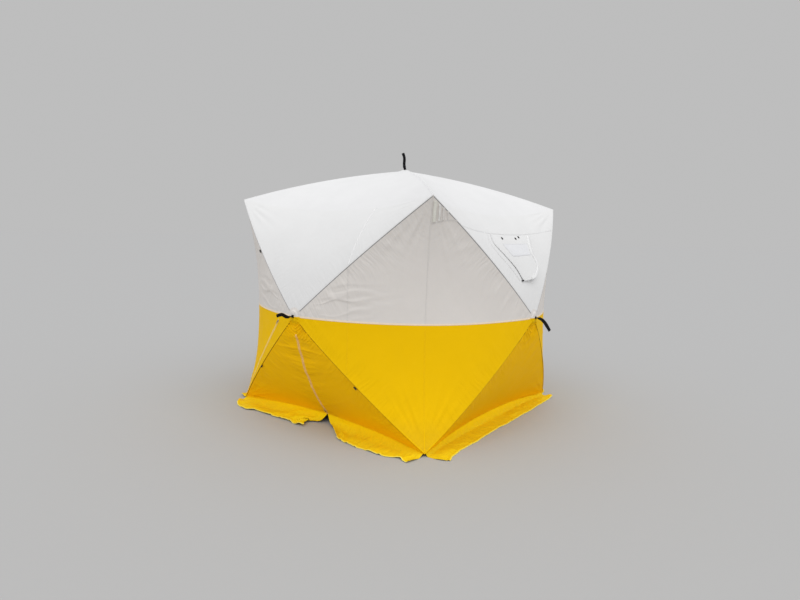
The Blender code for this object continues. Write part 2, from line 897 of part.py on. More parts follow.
def vent_point(down, across):
    """A point of the vent flap: down from its sewn edge at 0, across from its left edge at 0."""
    share = VENT_TOP_SHARE + (VENT_FOOT_SHARE - VENT_TOP_SHARE) * down
    round_off = VENT_ROUND_SHARE * down ** 3 * (2 * across - 1) ** 2
    share -= (VENT_FOOT_SHARE - VENT_TOP_SHARE) * round_off
    left = VENT_LEFT_SHARES[0] + (VENT_LEFT_SHARES[1] - VENT_LEFT_SHARES[0]) * down
    right = VENT_RIGHT_SHARES[0] + (VENT_RIGHT_SHARES[1] - VENT_RIGHT_SHARES[0]) * down ** 2
    along = left + (right - left) * across
    bulge = VENT_BULGE_EDGE_SHARE + (1 - VENT_BULGE_EDGE_SHARE) * arch(across)
    bulge *= VENT_BULGE_LEFT_SHARE + (1 - VENT_BULGE_LEFT_SHARE) * across
    lift = VENT_LIFT + VENT_BULGE * down * bulge
    place = panel_point(RIGHT, "top", share, along)
    return place + panel_normal(RIGHT, "top", share, along) * (lift + VENT_THICKNESS)


def build_vent(parts, white):
    grid = [
        [vent_point(row / VENT_ROWS, column / VENT_COLUMNS) for column in range(VENT_COLUMNS + 1)]
        for row in range(VENT_ROWS + 1)
    ]
    flap = sheet("right_vent_flap", grid, RIGHT.normal, VENT_THICKNESS, parts)
    flap.data.materials.append(white)
    smooth(flap, CLOTH_CREASE_ANGLE)


# Corner pockets and the ground skirt


def pocket(name, x, y, z, group):
    """A shell of flat gores under the cover's corner, which holds the pole tips."""
    place, ways = around_corner(x, y, z)
    normals, axis = pocket_planes(place, ways)
    apex = place + pocket_shift(normals, axis)
    closed = (ways[0] - ways[-1]).length < SAME_WAY_SHARE
    if not closed:
        drop = Vector((0, 0, POCKET_FALL_SHARE))
        ways = [(ways[0] - drop).normalized()] + ways + [(ways[-1] - drop).normalized()]

    def build(shape):
        point = shape.verts.new(apex)
        rim = [shape.verts.new(apex + way * POCKET_REACH) for way in (ways[:-1] if closed else ways)]
        pairs = list(zip(rim, rim[1:]))
        if closed:
            pairs.append((rim[-1], rim[0]))
        for first, second in pairs:
            shape.faces.new((point, first, second))
        bmesh.ops.recalc_face_normals(shape, faces=shape.faces[:])
        shape.normal_update()
        facing = sum((f.normal * f.calc_area() for f in shape.faces), Vector())
        if facing.dot(axis) > 0:
            bmesh.ops.reverse_faces(shape, faces=shape.faces[:])

    item = add_object(name, mesh_from(name, build), group)
    shell = item.modifiers.new("Shell", "SOLIDIFY")
    shell.thickness = POCKET_THICKNESS
    shell.offset = -1.0
    shell.use_even_offset = True
    return freeze(item)


def gusset(x, y, group):
    """A flat web across a bottom corner, under the pocket."""
    top = BOTTOM_CORNER_HEIGHT - GUSSET_DROP
    inner = HALF_WIDTH - GUSSET_INSET
    leg = inner - GUSSET_LEG
    outline = [(inner * x, inner * y), (leg * x, inner * y), (inner * x, leg * y)]

    def build(shape):
        face = shape.faces.new([shape.verts.new((px, py, top)) for px, py in outline])
        face.normal_update()
        if face.normal.z < 0:
            face.normal_flip()

    item = add_object("gusset", mesh_from("gusset", build), group)
    shell = item.modifiers.new("Shell", "SOLIDIFY")
    shell.thickness = GUSSET_THICKNESS
    shell.offset = -1.0
    return freeze(item)


def skirt_strip(face, group):
    """One wall's stretch of skirt: a lip under the wall's hem, a foot and a wavy edge on the ground."""
    rows = []
    end = SKIRT_END / (2 * face.half_across)
    columns = [end + (1 - 2 * end) * number / SKIRT_COLUMNS for number in range(SKIRT_COLUMNS + 1)]
    down = Vector((0, 0, SKIRT_GAP + SKIRT_THICKNESS))
    for inset in (SKIRT_LIP, 0):
        rows.append([hem_point(face, along) - face.normal * inset - down for along in columns])
    for out_share in (0, SKIRT_FLAT_SHARE, 1):
        rows.append([skirt_point(face, along, out_share) for along in columns])
    return sheet(f"{face.name}_strip", rows, Vector((0, 0, 1)), SKIRT_THICKNESS, group, offset=1.0)


def build_skirt(parts, yellow):
    skirt = skirt_strip(RIGHT, parts)
    skirt.name = "ground_skirt"
    for face in (BACK, LEFT):
        combine(skirt, skirt_strip(face, parts), "UNION")
    for x, y in CORNER_SIGNS:
        web = gusset(x, y, parts)
        combine(web, pocket("bottom_pocket", x, y, -1, parts), "UNION")
        combine(skirt, web, "UNION")
    skirt.data.materials.clear()
    skirt.data.materials.append(yellow)
    smooth(skirt, CLOTH_CREASE_ANGLE)


def build_pockets(parts, white):
    names = {(-1, -1): "front_left", (1, -1): "front_right", (1, 1): "back_right", (-1, 1): "back_left"}
    for signs, name in names.items():
        item = pocket(f"top_pocket_{name}", signs[0], signs[1], 1, parts)
        item.data.materials.append(white)


# Pull straps


def strap_path(face):
    """The strap's middle line in the hub's frame: a sewn foot on the cap, then a free stretch."""
    slope = hub_slope(face)
    crown = HUB_CAP_CLEARANCE - HUB_NECK_RADIUS * slope + HUB_CAP_RIM + HUB_CAP_CROWN
    lean, droop = STRAP_LEAN_SHARES[face.name]
    height = crown + STRAP_GAP + STRAP_THICKNESS / 2
    points = [Vector((-lean * STRAP_FOOT, 0, height)), Vector((0, 0, height))]
    for number in range(1, STRAP_POINTS + 1):
        share = number / STRAP_POINTS
        curl = STRAP_CURL * math.sin(2 * math.pi * share)
        out = STRAP_LENGTH * share
        fall = droop * STRAP_LENGTH * share ** STRAP_DROOP_POWER_SHARE
        points.append(
            Vector((lean * (STRAP_SWING_SHARE * out + curl), 0, height))
            + Vector((0, -fall, out * (1 - STRAP_DROOP_LOSS_SHARE * droop * share)))
        )
    return points


def build_straps(parts, black):
    for face in FACES:
        path = strap_path(face)
        half = STRAP_WIDTH / 2
        place = face_matrix(face, face.peak())
        grid = [[place @ (p + Vector((0, side * half, 0))) for side in (-1, 1)] for p in path]
        strap = sheet(
            f"{face.name}_pull_strap", grid, face.normal, STRAP_THICKNESS, parts, offset=0.0
        )
        strap.data.materials.append(black)


def main():
    clear_scene()
    parts = collection("work_tent")
    guides = collection("guides")
    white = paint("cloth_white", CLOTH_WHITE, 0.62)
    yellow = paint("cloth_yellow", CLOTH_YELLOW, 0.55)
    skirt = paint("cloth_skirt", CLOTH_SKIRT, 0.55)
    black = paint("webbing", WEB_BLACK, 0.80)
    moulded = paint("hub_plastic", HUB_BLACK, 0.45)
    grey = paint("pole_fibre", POLE_GREY, 0.35)
    tape = paint("pocket_web", POCKET_WHITE, 0.80)
    metal = paint("zip_metal", ZIP_METAL, 0.40, 0.9)
    build_hubs(parts, guides, moulded)
    build_poles(parts, guides, grey)
    build_panels(parts, white, yellow)
    build_door(parts, yellow)
    build_slider(parts, metal)
    build_vent(parts, white)
    build_skirt(parts, skirt)
    build_pockets(parts, tape)
    build_straps(parts, black)


main()
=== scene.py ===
"""Looks of the pop-up work tent: sewn cloth cover, seams, zips, vent, skirt, straps, light and camera.

Everything is in metres in the frame of the CAD model. X runs along the front wall, Y from the front
wall to the back wall, Z is up. Each face of the tent is a shallow pyramid round its hub. Two triangles
of neighbouring faces are cut as one smooth cloth diamond, made as two halves, one on each face.
"""

import math

import bmesh
import bpy
import numpy as np
from mathutils import Matrix, Vector

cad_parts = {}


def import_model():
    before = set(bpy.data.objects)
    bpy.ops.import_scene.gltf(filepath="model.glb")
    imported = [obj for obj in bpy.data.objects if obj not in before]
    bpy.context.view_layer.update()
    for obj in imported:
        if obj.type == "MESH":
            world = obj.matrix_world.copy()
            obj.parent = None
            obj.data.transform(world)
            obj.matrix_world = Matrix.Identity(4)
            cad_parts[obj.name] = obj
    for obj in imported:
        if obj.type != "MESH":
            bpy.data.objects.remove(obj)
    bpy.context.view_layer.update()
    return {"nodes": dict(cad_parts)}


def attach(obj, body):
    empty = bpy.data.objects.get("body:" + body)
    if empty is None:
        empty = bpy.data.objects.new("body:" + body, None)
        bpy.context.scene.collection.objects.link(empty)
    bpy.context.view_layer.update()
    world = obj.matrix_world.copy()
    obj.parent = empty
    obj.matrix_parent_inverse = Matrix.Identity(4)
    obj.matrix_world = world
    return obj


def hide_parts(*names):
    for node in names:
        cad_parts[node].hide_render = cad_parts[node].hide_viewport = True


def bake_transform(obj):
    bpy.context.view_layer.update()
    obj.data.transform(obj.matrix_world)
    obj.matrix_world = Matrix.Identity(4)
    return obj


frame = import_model()

# Frame of the tent, as in the CAD model
HALF_WIDTH = 0.95
TOP_HEIGHT = 1.70
FOOT_HEIGHT = 0.020
WALL_POP = 0.295
ROOF_POP = 0.285
POLE_BOW = 0.035
EDGE_SAG = 0.130
HEM_SAG_POWER = 2.6
HEM_RISE = 0.045
HEM_DRAW = 0.050
HUB_OPENING = 0.022
HUB_OPENING_SHARE = 1 - HUB_OPENING / HALF_WIDTH
TIP_SHARE = 0.036
PIN_SHARE = 0.978
DOOR_HEAD_SHARE = 0.81
DOOR_TOP_SHARE = 0.808
ZIP_GAP = 0.0012

# How far from its pole a door flap, or its skirt, starts to swing in full
DOOR_BEND = 0.10
SKIRT_BEND = 0.16

# Cloth
CLOTH_THICKNESS = 0.0008
CLOTH_ROWS = 98
ROW_CROWDING = 0.42
CLOTH_COLUMNS = 104
NORMAL_PROBE = 0.004

SIDES = ("top", "bottom", "left", "right")
SIDE_SIGNS = {"top": (0, 1), "bottom": (0, -1), "left": (-1, 0), "right": (1, 0)}
CORNER_SIGNS = ((-1, -1), (1, -1), (1, 1), (-1, 1))
UP = np.array((0, 0, 1.0))


# Small sums


def unit(vector):
    vector = np.asarray(vector, float)
    return vector / np.linalg.norm(vector, axis=-1, keepdims=True)


def column(values):
    return np.asarray(values, float)[..., None]


def together(*values):
    """Numbers side by side as coordinates. A single number stands for a whole row of itself."""
    return np.stack(np.broadcast_arrays(*values), -1)


def arch(share):
    return 4 * share * (1 - share)


def eased(value):
    """A smooth step from 0 at 0 to 1 at 1."""
    value = np.clip(value, 0, 1)
    return value * value * (3 - 2 * value)


def bell(offset, width):
    """1 in the middle, fading on both sides over a width."""
    return np.exp(-((offset / width) ** 2))


def smoothed(values, times):
    """A row of values with its inner ones averaged with their neighbours."""
    for _ in range(times):
        values[1:-1] = (values[:-2] + 2 * values[1:-1] + values[2:]) / 4
    return values


def around(turn, first, second):
    """Points on a circle, at angles from the first direction to the second."""
    return column(np.cos(turn)) * first + column(np.sin(turn)) * second


def towards(way, facing):
    """A way turned back where it points against another."""
    return way * np.where(column(way @ facing) < 0, -1, 1)


def upright_to(way, line):
    """The unit way nearest to the given one at right angles to a line."""
    return unit(way - line * (way @ line))


class Face:
    """One face of the tent: a frame of axes, half sizes and the height of its hub."""

    def __init__(self, name, centre, normal, across, up, half_up, pop):
        self.name = name
        self.centre = np.array(centre, float)
        self.normal = np.array(normal, float)
        self.across = np.array(across, float)
        self.up = np.array(up, float)
        self.half_across = HALF_WIDTH
        self.half_up = half_up
        self.pop = pop
        self.peak = self.centre + self.normal * pop

    def corner(self, signs):
        across = self.across * signs[0] * self.half_across
        return self.centre + across + self.up * signs[1] * self.half_up

    def side_normal(self, side):
        x, y = SIDE_SIGNS[side]
        return self.across * x + self.up * y

    def from_hub(self, across, up, out):
        """Points from places in the hub's own frame."""
        return self.peak + column(across) * self.across + column(up) * self.up + column(out) * self.normal


def wall(name, normal):
    half_up = (TOP_HEIGHT - FOOT_HEIGHT) / 2
    normal = np.array(normal, float)
    centre = normal * HALF_WIDTH + np.array((0, 0, FOOT_HEIGHT + half_up))
    return Face(name, centre, normal, (-normal[1], normal[0], 0), (0, 0, 1), half_up, WALL_POP)


ROOF = Face("roof", (0, 0, TOP_HEIGHT), (0, 0, 1), (1, 0, 0), (0, 1, 0), HALF_WIDTH, ROOF_POP)
FRONT = wall("front", (0, -1, 0))
RIGHT = wall("right", (1, 0, 0))
BACK = wall("back", (0, 1, 0))
LEFT = wall("left", (-1, 0, 0))
FACES = (ROOF, FRONT, RIGHT, BACK, LEFT)
WALLS = FACES[1:]


def side_corners(side):
    """The signs of a side's two corners, from its start to its end."""
    x, y = SIDE_SIGNS[side]
    return ((x, -1), (x, 1)) if x else ((-1, y), (1, y))


def corner_sides(signs):
    """The upright and the sideways triangle that meet at a corner."""
    return ("top" if signs[1] > 0 else "bottom"), ("right" if signs[0] > 0 else "left")


def pole_name(face, signs):
    upright, sideways = corner_sides(signs)
    if face is ROOF:
        upright = "back" if signs[1] > 0 else "front"
    return f"{face.name}_pole_{upright}_{sideways}"


def is_low(face, side):
    return side == "bottom" and face is not ROOF


def half_sizes(face, side):
    """Half of the face along a side, and from the side to the hub."""
    sizes = face.half_across, face.half_up
    return sizes[::-1] if SIDE_SIGNS[side][0] else sizes


def row_length(face, side, share):
    return 2 * half_sizes(face, side)[0] * (1 - share)


def panel_height(face, side):
    """The distance on the cloth from a side to the hub."""
    return math.hypot(half_sizes(face, side)[1], face.pop)


def slant(face, side):
    """The sine of the angle in the face's plane between a side and the poles at its ends."""
    along, inward = half_sizes(face, side)
    return inward / math.hypot(inward, along)


# The cover's plain surface


def pole_line(face, signs, share):
    """Points of the cover above a pole, from its corner at share 0 to the hub at share 1."""
    corner = face.corner(signs)
    flat = corner - face.centre
    length = np.linalg.norm(flat)
    bow = unit(face.normal * length + flat / length * face.pop) * POLE_BOW
    share = column(share)
    return corner + (face.peak - corner) * share + bow * arch(share)


def neighbour(face, side):
    """The face sewn to this one along a side, with the shared corners in this side's order."""
    ends = [face.corner(signs) for signs in side_corners(side)]
    for other in FACES:
        for other_side in SIDES:
            if other is face:
                continue
            signs = side_corners(other_side)
            for order in (signs, signs[::-1]):
                if all(np.allclose(other.corner(s), end) for s, end in zip(order, ends)):
                    return other, order
    return None, None


def hem_triangle(face, side, share, along):
    """A free triangle: straight between its poles, drawn up and in along its hem."""
    start, end = side_corners(side)
    line = pole_line(face, start, share) * (1 - column(along)) + pole_line(face, end, share) * column(along)
    sag = face.up * HEM_RISE - face.normal * HEM_DRAW
    return line + sag * column(arch(along) * np.maximum(1 - share, 0) ** HEM_SAG_POWER)


def diamond_place(share, along):
    """The place in a diamond, as shares along its two pairs of edges."""
    return share + along * (1 - share), along * (1 - share)


def diamond(face, side, share, along):
    """A smooth sheet stretched between four pole lines. This face has the half nearer its hub."""
    other, (far_start, far_end) = neighbour(face, side)
    start, end = side_corners(side)
    p, q = diamond_place(share, along)

    def stretched(p, q):
        across_p = column(1 - q) * pole_line(face, start, p) + column(q) * pole_line(other, far_end, 1 - p)
        across_q = column(1 - p) * pole_line(other, far_start, q) + column(p) * pole_line(face, end, 1 - q)
        corners = (
            column((1 - p) * (1 - q)) * face.corner(start)
            + column(p * (1 - q)) * face.peak
            + column(p * q) * face.corner(end)
            + column((1 - p) * q) * other.peak
        )
        return across_p + across_q - corners

    middle = (face.corner(start) + face.corner(end)) / 2
    outward = unit(face.normal + face.side_normal(side))
    target = middle - outward * EDGE_SAG
    lift = target - stretched(np.array([0.5]), np.array([0.5]))[0]
    return stretched(p, q) + lift * column(arch(p) * arch(q))


def cover(face, side, share, along):
    """Points of the cover's plain surface at shares of the way to the hub and along the side."""
    share = np.asarray(share, float)
    along = np.asarray(along, float)
    shape = hem_triangle if is_low(face, side) else diamond
    return shape(face, side, share, along)


def cover_normal(face, side, share, along):
    step = NORMAL_PROBE
    share = np.clip(share, 0, 1 - 3 * step)
    up = cover(face, side, share + step, along) - cover(face, side, share - step, along)
    on = cover(face, side, share, along + step) - cover(face, side, share, along - step)
    return towards(unit(np.cross(up, on)), face.normal + 0.5 * face.side_normal(side))


# How much each point of the cover follows its hub


def pull(share):
    """How much of the hub's travel a point of the cover makes: none at the side, all at the hub."""
    return np.clip((np.asarray(share, float) - TIP_SHARE) / (PIN_SHARE - TIP_SHARE), 0, 1)


def stiff_pull(face, share, along):
    """The share of the hub's travel that keeps a wall's top triangle on its panel, turned about its top."""

    def placed(share):
        place = cover(face, "top", share, along) - face.corner((1, 1))
        return place @ face.normal, -place @ face.up

    turn = 2 * math.atan2(face.pop, face.half_up)
    out, down = placed(share)
    start = share
    for _ in range(4):
        start_out, start_down = placed(start)
        turned_down = start_down * math.cos(turn) + start_out * math.sin(turn)
        start = np.clip(start + (down - turned_down) / face.half_up, 0, 0.98)
    return (out - start_out * math.cos(turn) + start_down * math.sin(turn)) / (2 * face.pop)


def pull_at(face, side, share, along):
    """The pull at places of a triangle. Round the vent the cloth stays level with the flap's own panel."""
    amount = pull(share)
    if face is not RIGHT or side != "top":
        return amount
    near = eased(share / 0.15) * eased((0.92 - share) / 0.22)
    near = near * eased(along / 0.16) * eased((1 - along) / 0.16)
    return amount + (stiff_pull(face, share, along) - amount) * near


def swing_at(share, along, bend):
    """How far a point of the door swings: not at all on its pole, and fully past the bend."""
    return eased(np.minimum(along, 1 - along) * 2 * HALF_WIDTH * (1 - share) / bend)


# Folds of the cloth

BILLOW_PITCH = 0.34
BILLOW_HEIGHT = 0.0040
PUCKER_REACH = 0.17
PUCKER_PITCHES = (0.085, 0.045)
PUCKER_HEIGHTS = (0.0034, 0.0016)
PUCKER_SKEW = 0.5
FAN_TURNS = 9.0
FAN_REACH = 0.34
FAN_HEIGHT = 0.0062
GATHER_PITCH = 0.030
GATHER_REACH = 0.30
GATHER_HEIGHT = 0.0036
CHEVRON_PITCH = 0.0290
CHEVRON_REACH = 0.155
CHEVRON_HEIGHT = 0.0060
CHEVRON_RISE = 0.95
CHEVRON_MIDDLE = 0.004
SLACK_PITCH = 0.031
SLACK_RISE = 0.16
SLACK_HEIGHT = 0.0070
SLACK_MIDDLE = (0.40, 0.15)
SLACK_REACH = (0.21, 0.12)
ZIP_PUCKER_REACH = 0.24
ZIP_PUCKER_HEIGHT = 0.0065
ZIP_PUCKER_PITCH = 0.060
# How strongly each kind of panel is creased: along its poles, at its corners and in between
CREASE_SHARES = {
    "roof": (0.15, 0.4, 0.6),
    "top": (0.18, 1.1, 0.7),
    "side": (1.5, 1.4, 1.2),
    "low": (1.7, 1.6, 1.3),
}
# Where the slider ends its run, on flat cloth
SLIDER_STOP_SHARE = 0.775


def hashed(cells, seed):
    """The usual sine hash: an even spread of values from 0 to 1."""
    value = np.sin(cells @ np.array((127.1, 311.7, 74.7)) + seed * 43.17) * 43758.5453
    return value - np.floor(value)


def noise(points, seed=0.0):
    """Smooth noise from -1 to 1 at points of three coordinates."""
    points = np.asarray(points, float)
    low = np.floor(points)
    part = eased(points - low)
    total = 0
    for corner in np.ndindex(2, 2, 2):
        corner = np.array(corner)
        weight = np.prod(np.where(corner, part, 1 - part), axis=-1)
        total = total + weight * hashed(low + corner, seed)
    return 2 * total - 1


def ridges(points, seed):
    """Noise with sharp crests, as cloth has where it is pulled."""
    return 1 - 2 * np.abs(noise(points, seed))


def crests(points, seed, floor):
    """The crests of the ridges alone, over flat ground."""
    return np.maximum(0, ridges(points, seed) - floor)


def from_line(points, start, end):
    """Distance along a straight line from its start, and away from it."""
    way = unit(np.asarray(end) - start)
    run = (points - start) @ way
    return run, np.linalg.norm(points - start - column(run) * way, axis=-1)


def from_point(points, centre):
    """Distance from a place, and the way out from it."""
    offset = points - centre
    reach = np.linalg.norm(offset, axis=-1)
    return reach, offset / column(np.maximum(reach, 1e-6))


def fading(reach, far, near):
    """Rises from nothing over the near distance, and fades over the far one."""
    return bell(reach, far) * (1 - np.exp(-reach / near))


def puckers(points, start, end, seed, pitch, height, reach):
    """Streaks that run away from a seam and fade, as cloth does where thread or a pole holds it."""
    run, away = from_line(points, start, end)
    skew = PUCKER_SKEW * noise(together(run / 0.4, 0, 0), seed + 5)
    cells = together((run + skew * away) / pitch, away / (2.2 * reach), 0)
    patchy = 0.55 + 0.45 * noise(cells * 0.31, seed + 9)
    return height * fading(away, reach, 0.02) * ridges(cells, seed) * patchy


def fan(points, corner, seed):
    """Creases that spread from a corner where the cloth is held."""
    reach, way = from_point(points, corner)
    near = fading(reach, FAN_REACH, 0.03) * np.minimum(1, reach / 0.12)
    return FAN_HEIGHT * near * ridges(way * FAN_TURNS, seed)


def gathers(points, hub, seed):
    """Fine folds in rings round a hub."""
    reach, way = from_point(points, hub)
    cells = together(reach / GATHER_PITCH + 1.5 * way[..., 0], way[..., 0] * 3, way[..., 1] * 3)
    return GATHER_HEIGHT * fading(reach, GATHER_REACH, 0.03) * ridges(cells, seed)


def chevrons(points, face, seed):
    """Folds drawn down from both poles to the middle, under a hub."""
    offset = points - face.peak
    across, down = offset @ face.across, -(offset @ face.up)
    lateral = np.sqrt(across**2 + CHEVRON_MIDDLE**2)
    reach = np.linalg.norm(offset, axis=-1)
    warp = noise(together(across / 0.05, down / 0.05, 0), seed)
    turn = math.pi * (down + CHEVRON_RISE * lateral) / CHEVRON_PITCH + 1.6 * warp
    patchy = 0.75 + 0.6 * noise(together(lateral / 0.09, down / 0.06, 0), seed + 1)
    fade = bell(reach, CHEVRON_REACH) * (1 - bell(reach, 0.035))
    return CHEVRON_HEIGHT * fade * patchy * (1 - 2 * np.abs(np.sin(turn)))


def slack(points, face, seed):
    """Nearly level creases of the loose white cloth beside a wall's hub."""
    offset = points - face.peak
    aside, above = np.abs(offset @ face.across), offset @ face.up
    warp = noise(together(aside / 0.11, above / 0.07, 0), seed)
    cells = together(aside / 0.17, (above - SLACK_RISE * aside) / SLACK_PITCH + 0.45 * warp, 0)
    far = np.hypot((aside - SLACK_MIDDLE[0]) / SLACK_REACH[0], (above - SLACK_MIDDLE[1]) / SLACK_REACH[1])
    return SLACK_HEIGHT * crests(cells, seed + 1, 0.15) * bell(far, 1)


def panel_kind(face, side):
    if face is ROOF:
        return "roof"
    return {"top": "top", "bottom": "low"}.get(side, "side")


def calm_edge(other, share, along):
    """Nothing along a triangle's seams and 1 inside it."""
    if other:
        p, q = diamond_place(share, along)
        edge = np.clip(6 * arch(p) * arch(q), 0, 1)
    else:
        edge = np.clip(5 * arch(along), 0, 1) * np.clip(share / 0.03, 0, 1)
    return edge * np.clip((1 - share) / 0.04, 0, 1)


def rumple(face, side, points, share, along):
    """Height of the waves and puckers of one triangle. It is nothing along the seams."""
    kind = panel_kind(face, side)
    pole_share, corner_share, middle_share = CREASE_SHARES[kind]
    other, _ = neighbour(face, side)
    ends = [face.corner(signs) for signs in side_corners(side)]
    total = middle_share * BILLOW_HEIGHT * noise(points / BILLOW_PITCH, 3.0)
    for start, end in [(end, hub.peak) for end in ends for hub in (face, other) if hub]:
        seed = float(np.abs(start + 2 * end).sum())
        for pitch, height in zip(PUCKER_PITCHES, PUCKER_HEIGHTS):
            total = total + puckers(points, start, end, seed, pitch, height * pole_share, PUCKER_REACH)
    for end in ends:
        total = total + corner_share * fan(points, end, float(np.abs(end).sum()))
    if kind == "low":
        total = total + gathers(points, face.peak, 2.0) + chevrons(points, face, 8.0)
    if kind == "side" and face in (FRONT, BACK):
        total = total + slack(points, face, 13.0)
    if kind == "low" and face is FRONT:
        foot = cover(face, side, 0.0, 0.5)
        zip_folds = ZIP_PUCKER_PITCH, ZIP_PUCKER_HEIGHT, ZIP_PUCKER_REACH
        total = total + puckers(points, foot, face.peak, 6.0, *zip_folds)
        at_stop = np.hypot((share - SLIDER_STOP_SHARE) / 0.03, (along - 0.5) * (1 - share) / 0.02)
        total = total * (1 - bell(at_stop, 1))
    return total * calm_edge(other, share, along)


# Node materials


def fill(made, inputs):
    """Set the inputs of a shader node, as links where they are sockets and as constants otherwise."""
    for name, value in inputs.items():
        if isinstance(value, bpy.types.NodeSocket):
            made.id_data.links.new(value, made.inputs[name])
        else:
            made.inputs[name].default_value = value


def node(tree, kind, inputs=None, **settings):
    made = tree.nodes.new(kind)
    for name, value in settings.items():
        setattr(made, name, value)
    fill(made, inputs or {})
    return made


def maths(operation, first, second=0.0):
    return node(first.id_data, "ShaderNodeMath", {0: first, 1: second}, operation=operation).outputs[0]


def times(first, second):
    return maths("MULTIPLY", first, second)


def less(first, second):
    return maths("SUBTRACT", first, second)


def texture_noise(vector, scale, detail=2.0, roughness=0.5):
    inputs = {"Vector": vector, "Scale": scale, "Detail": detail, "Roughness": roughness}
    return node(vector.id_data, "ShaderNodeTexNoise", inputs).outputs["Fac"]


def mixed(amount, first, second):
    """A colour between two, by an amount from 0 to 1."""
    inputs = {0: amount, 6: first, 7: second}
    return node(amount.id_data, "ShaderNodeMix", inputs, data_type="RGBA").outputs[2]


def varied(colour, amount, low, high):
    """A colour whose lightness follows a value from 0 to 1."""
    dark = tuple(part * low for part in colour) + (1,)
    light = tuple(min(part * high, 1) for part in colour) + (1,)
    return mixed(amount, dark, light)


def ranged(value, low, high, start, end):
    """A value taken from one range to another."""
    inputs = {"Value": value, "From Min": low, "From Max": high, "To Min": start, "To Max": end}
    return node(value.id_data, "ShaderNodeMapRange", inputs).outputs[0]


def parts_of(vector):
    return node(vector.id_data, "ShaderNodeSeparateXYZ", {"Vector": vector}).outputs


def weave_height(fold, pitch):
    """Threads over and under in two directions."""
    inputs = {"Vector": fold, "Scale": 0.314 / pitch, "Distortion": 0.4, "Detail": 0.0}
    heights = [
        node(fold.id_data, "ShaderNodeTexWave", inputs, bands_direction=direction).outputs["Fac"]
        for direction in ("X", "Y")
    ]
    return maths("MAXIMUM", *heights)


def streak_height(fold, pitch, reach, fade):
    """Fine puckers that leave a seam at right angles and fade away from it."""
    along, away = parts_of(fold)["X"], parts_of(fold)["Y"]
    skew = times(less(texture_noise(fold, 2.5, 0), 0.5), 1.6)
    run = maths("ADD", along, times(away, skew))
    inputs = {"X": times(run, 1 / pitch), "Y": times(away, 1 / reach)}
    cell = node(fold.id_data, "ShaderNodeCombineXYZ", inputs).outputs[0]
    near = times(away, 1 / fade)
    near = maths("EXPONENT", times(times(near, near), -1.0))
    return times(less(texture_noise(cell, 1.0, 2.5, 0.6), 0.5), near)


def bumped(height, distance, strength=1.0, normal=None):
    inputs = {"Height": height, "Distance": distance, "Strength": strength}
    if normal:
        inputs["Normal"] = normal
    return node(height.id_data, "ShaderNodeBump", inputs).outputs[0]


CLOTH_GLOSS = 0.06
TAPE_ROUGHNESS = 0.75
FINE_PUCKER_PITCH = 0.026
FINE_PUCKER_REACH = 0.22
FINE_PUCKER_FADE = 0.15
FINE_PUCKER_DEPTH = 0.007
CREASE_DEPTH = 0.0030
THREAD_PITCH = 0.0011
TAPE_THREAD_PITCH = 0.0012
STITCH_PITCH = 0.0045
STITCH_WIDTH_SHARE = 0.07
STITCH_LENGTH_SHARE = 0.72
NET_PITCH = 0.0016
SOIL = (0.16, 0.10, 0.045, 1)
WORN = (0.3, 0.3, 0.3)


def blank(name):
    material = bpy.data.materials.new(name)
    material.use_nodes = True
    return material, material.node_tree, material.node_tree.nodes["Principled BSDF"]


def place_in(tree):
    return node(tree, "ShaderNodeTexCoord").outputs["Object"]


def map_in(tree, name):
    return node(tree, "ShaderNodeUVMap", uv_map=name).outputs[0]


def cloth_paint(name, colour, soil_height=0.0, streaks=1.0):
    """Coated polyester: weave, puckers at the seams, soft creases, uneven colour and soil near the ground."""
    material, tree, shader = blank(name)
    folds = map_in(tree, "FoldA"), map_in(tree, "FoldB")
    place = place_in(tree)
    tint = varied(colour, texture_noise(place, 5.0, 4, 0.6), 0.96, 1.03)
    if soil_height:
        near = ranged(parts_of(place)["Z"], soil_height, 0.0, 0.0, 0.35)
        tint = mixed(times(near, texture_noise(place, 26.0, 6, 0.7)), tint, SOIL)
    heights = [streak_height(fold, FINE_PUCKER_PITCH, FINE_PUCKER_REACH, FINE_PUCKER_FADE) for fold in folds]
    normal = bumped(maths("ADD", *heights), FINE_PUCKER_DEPTH * streaks)
    crease = maths("ABSOLUTE", less(texture_noise(place, 7.0, 3, 0.55), 0.5))
    normal = bumped(crease, CREASE_DEPTH, 0.8, normal)
    normal = bumped(weave_height(folds[0], THREAD_PITCH), THREAD_PITCH * 0.10, 0.5, normal)
    rough = ranged(texture_noise(place, 14.0, 3), 0.3, 0.7, 0.58, 0.74)
    looks = {"Base Color": tint, "Roughness": rough, "Normal": normal, "Specular IOR Level": CLOTH_GLOSS}
    fill(shader, looks)
    return material


def tape_paint(name, colour, thread, stitch=0.72, ribs=0.0):
    """Tape with a row of stitches near each edge. The map Strip runs along it, and from -1 to 1 across."""
    material, tree, shader = blank(name)
    strip = map_in(tree, "Strip")
    along, across = parts_of(strip)["X"], maths("ABSOLUTE", parts_of(strip)["Y"])
    on_line = maths("LESS_THAN", maths("ABSOLUTE", less(across, stitch)), STITCH_WIDTH_SHARE)
    turn = maths("FRACT", maths("DIVIDE", along, STITCH_PITCH))
    sewn = times(on_line, maths("LESS_THAN", turn, STITCH_LENGTH_SHARE))
    tint = varied(colour, texture_noise(place_in(tree), 60.0, 3), 0.93, 1.04)
    tint = mixed(times(sewn, 0.85), tint, thread + (1,))
    normal = bumped(less(weave_height(strip, TAPE_THREAD_PITCH), times(sewn, 2.0)), 0.00025, 0.8)
    if ribs:
        wave = node(tree, "ShaderNodeTexWave", {"Vector": strip, "Scale": ribs}, bands_direction="Y")
        normal = bumped(wave.outputs["Fac"], 0.0006, 1.0, normal)
    looks = {"Base Color": tint, "Normal": normal, "Roughness": TAPE_ROUGHNESS}
    fill(shader, looks | {"Specular IOR Level": CLOTH_GLOSS})
    return material


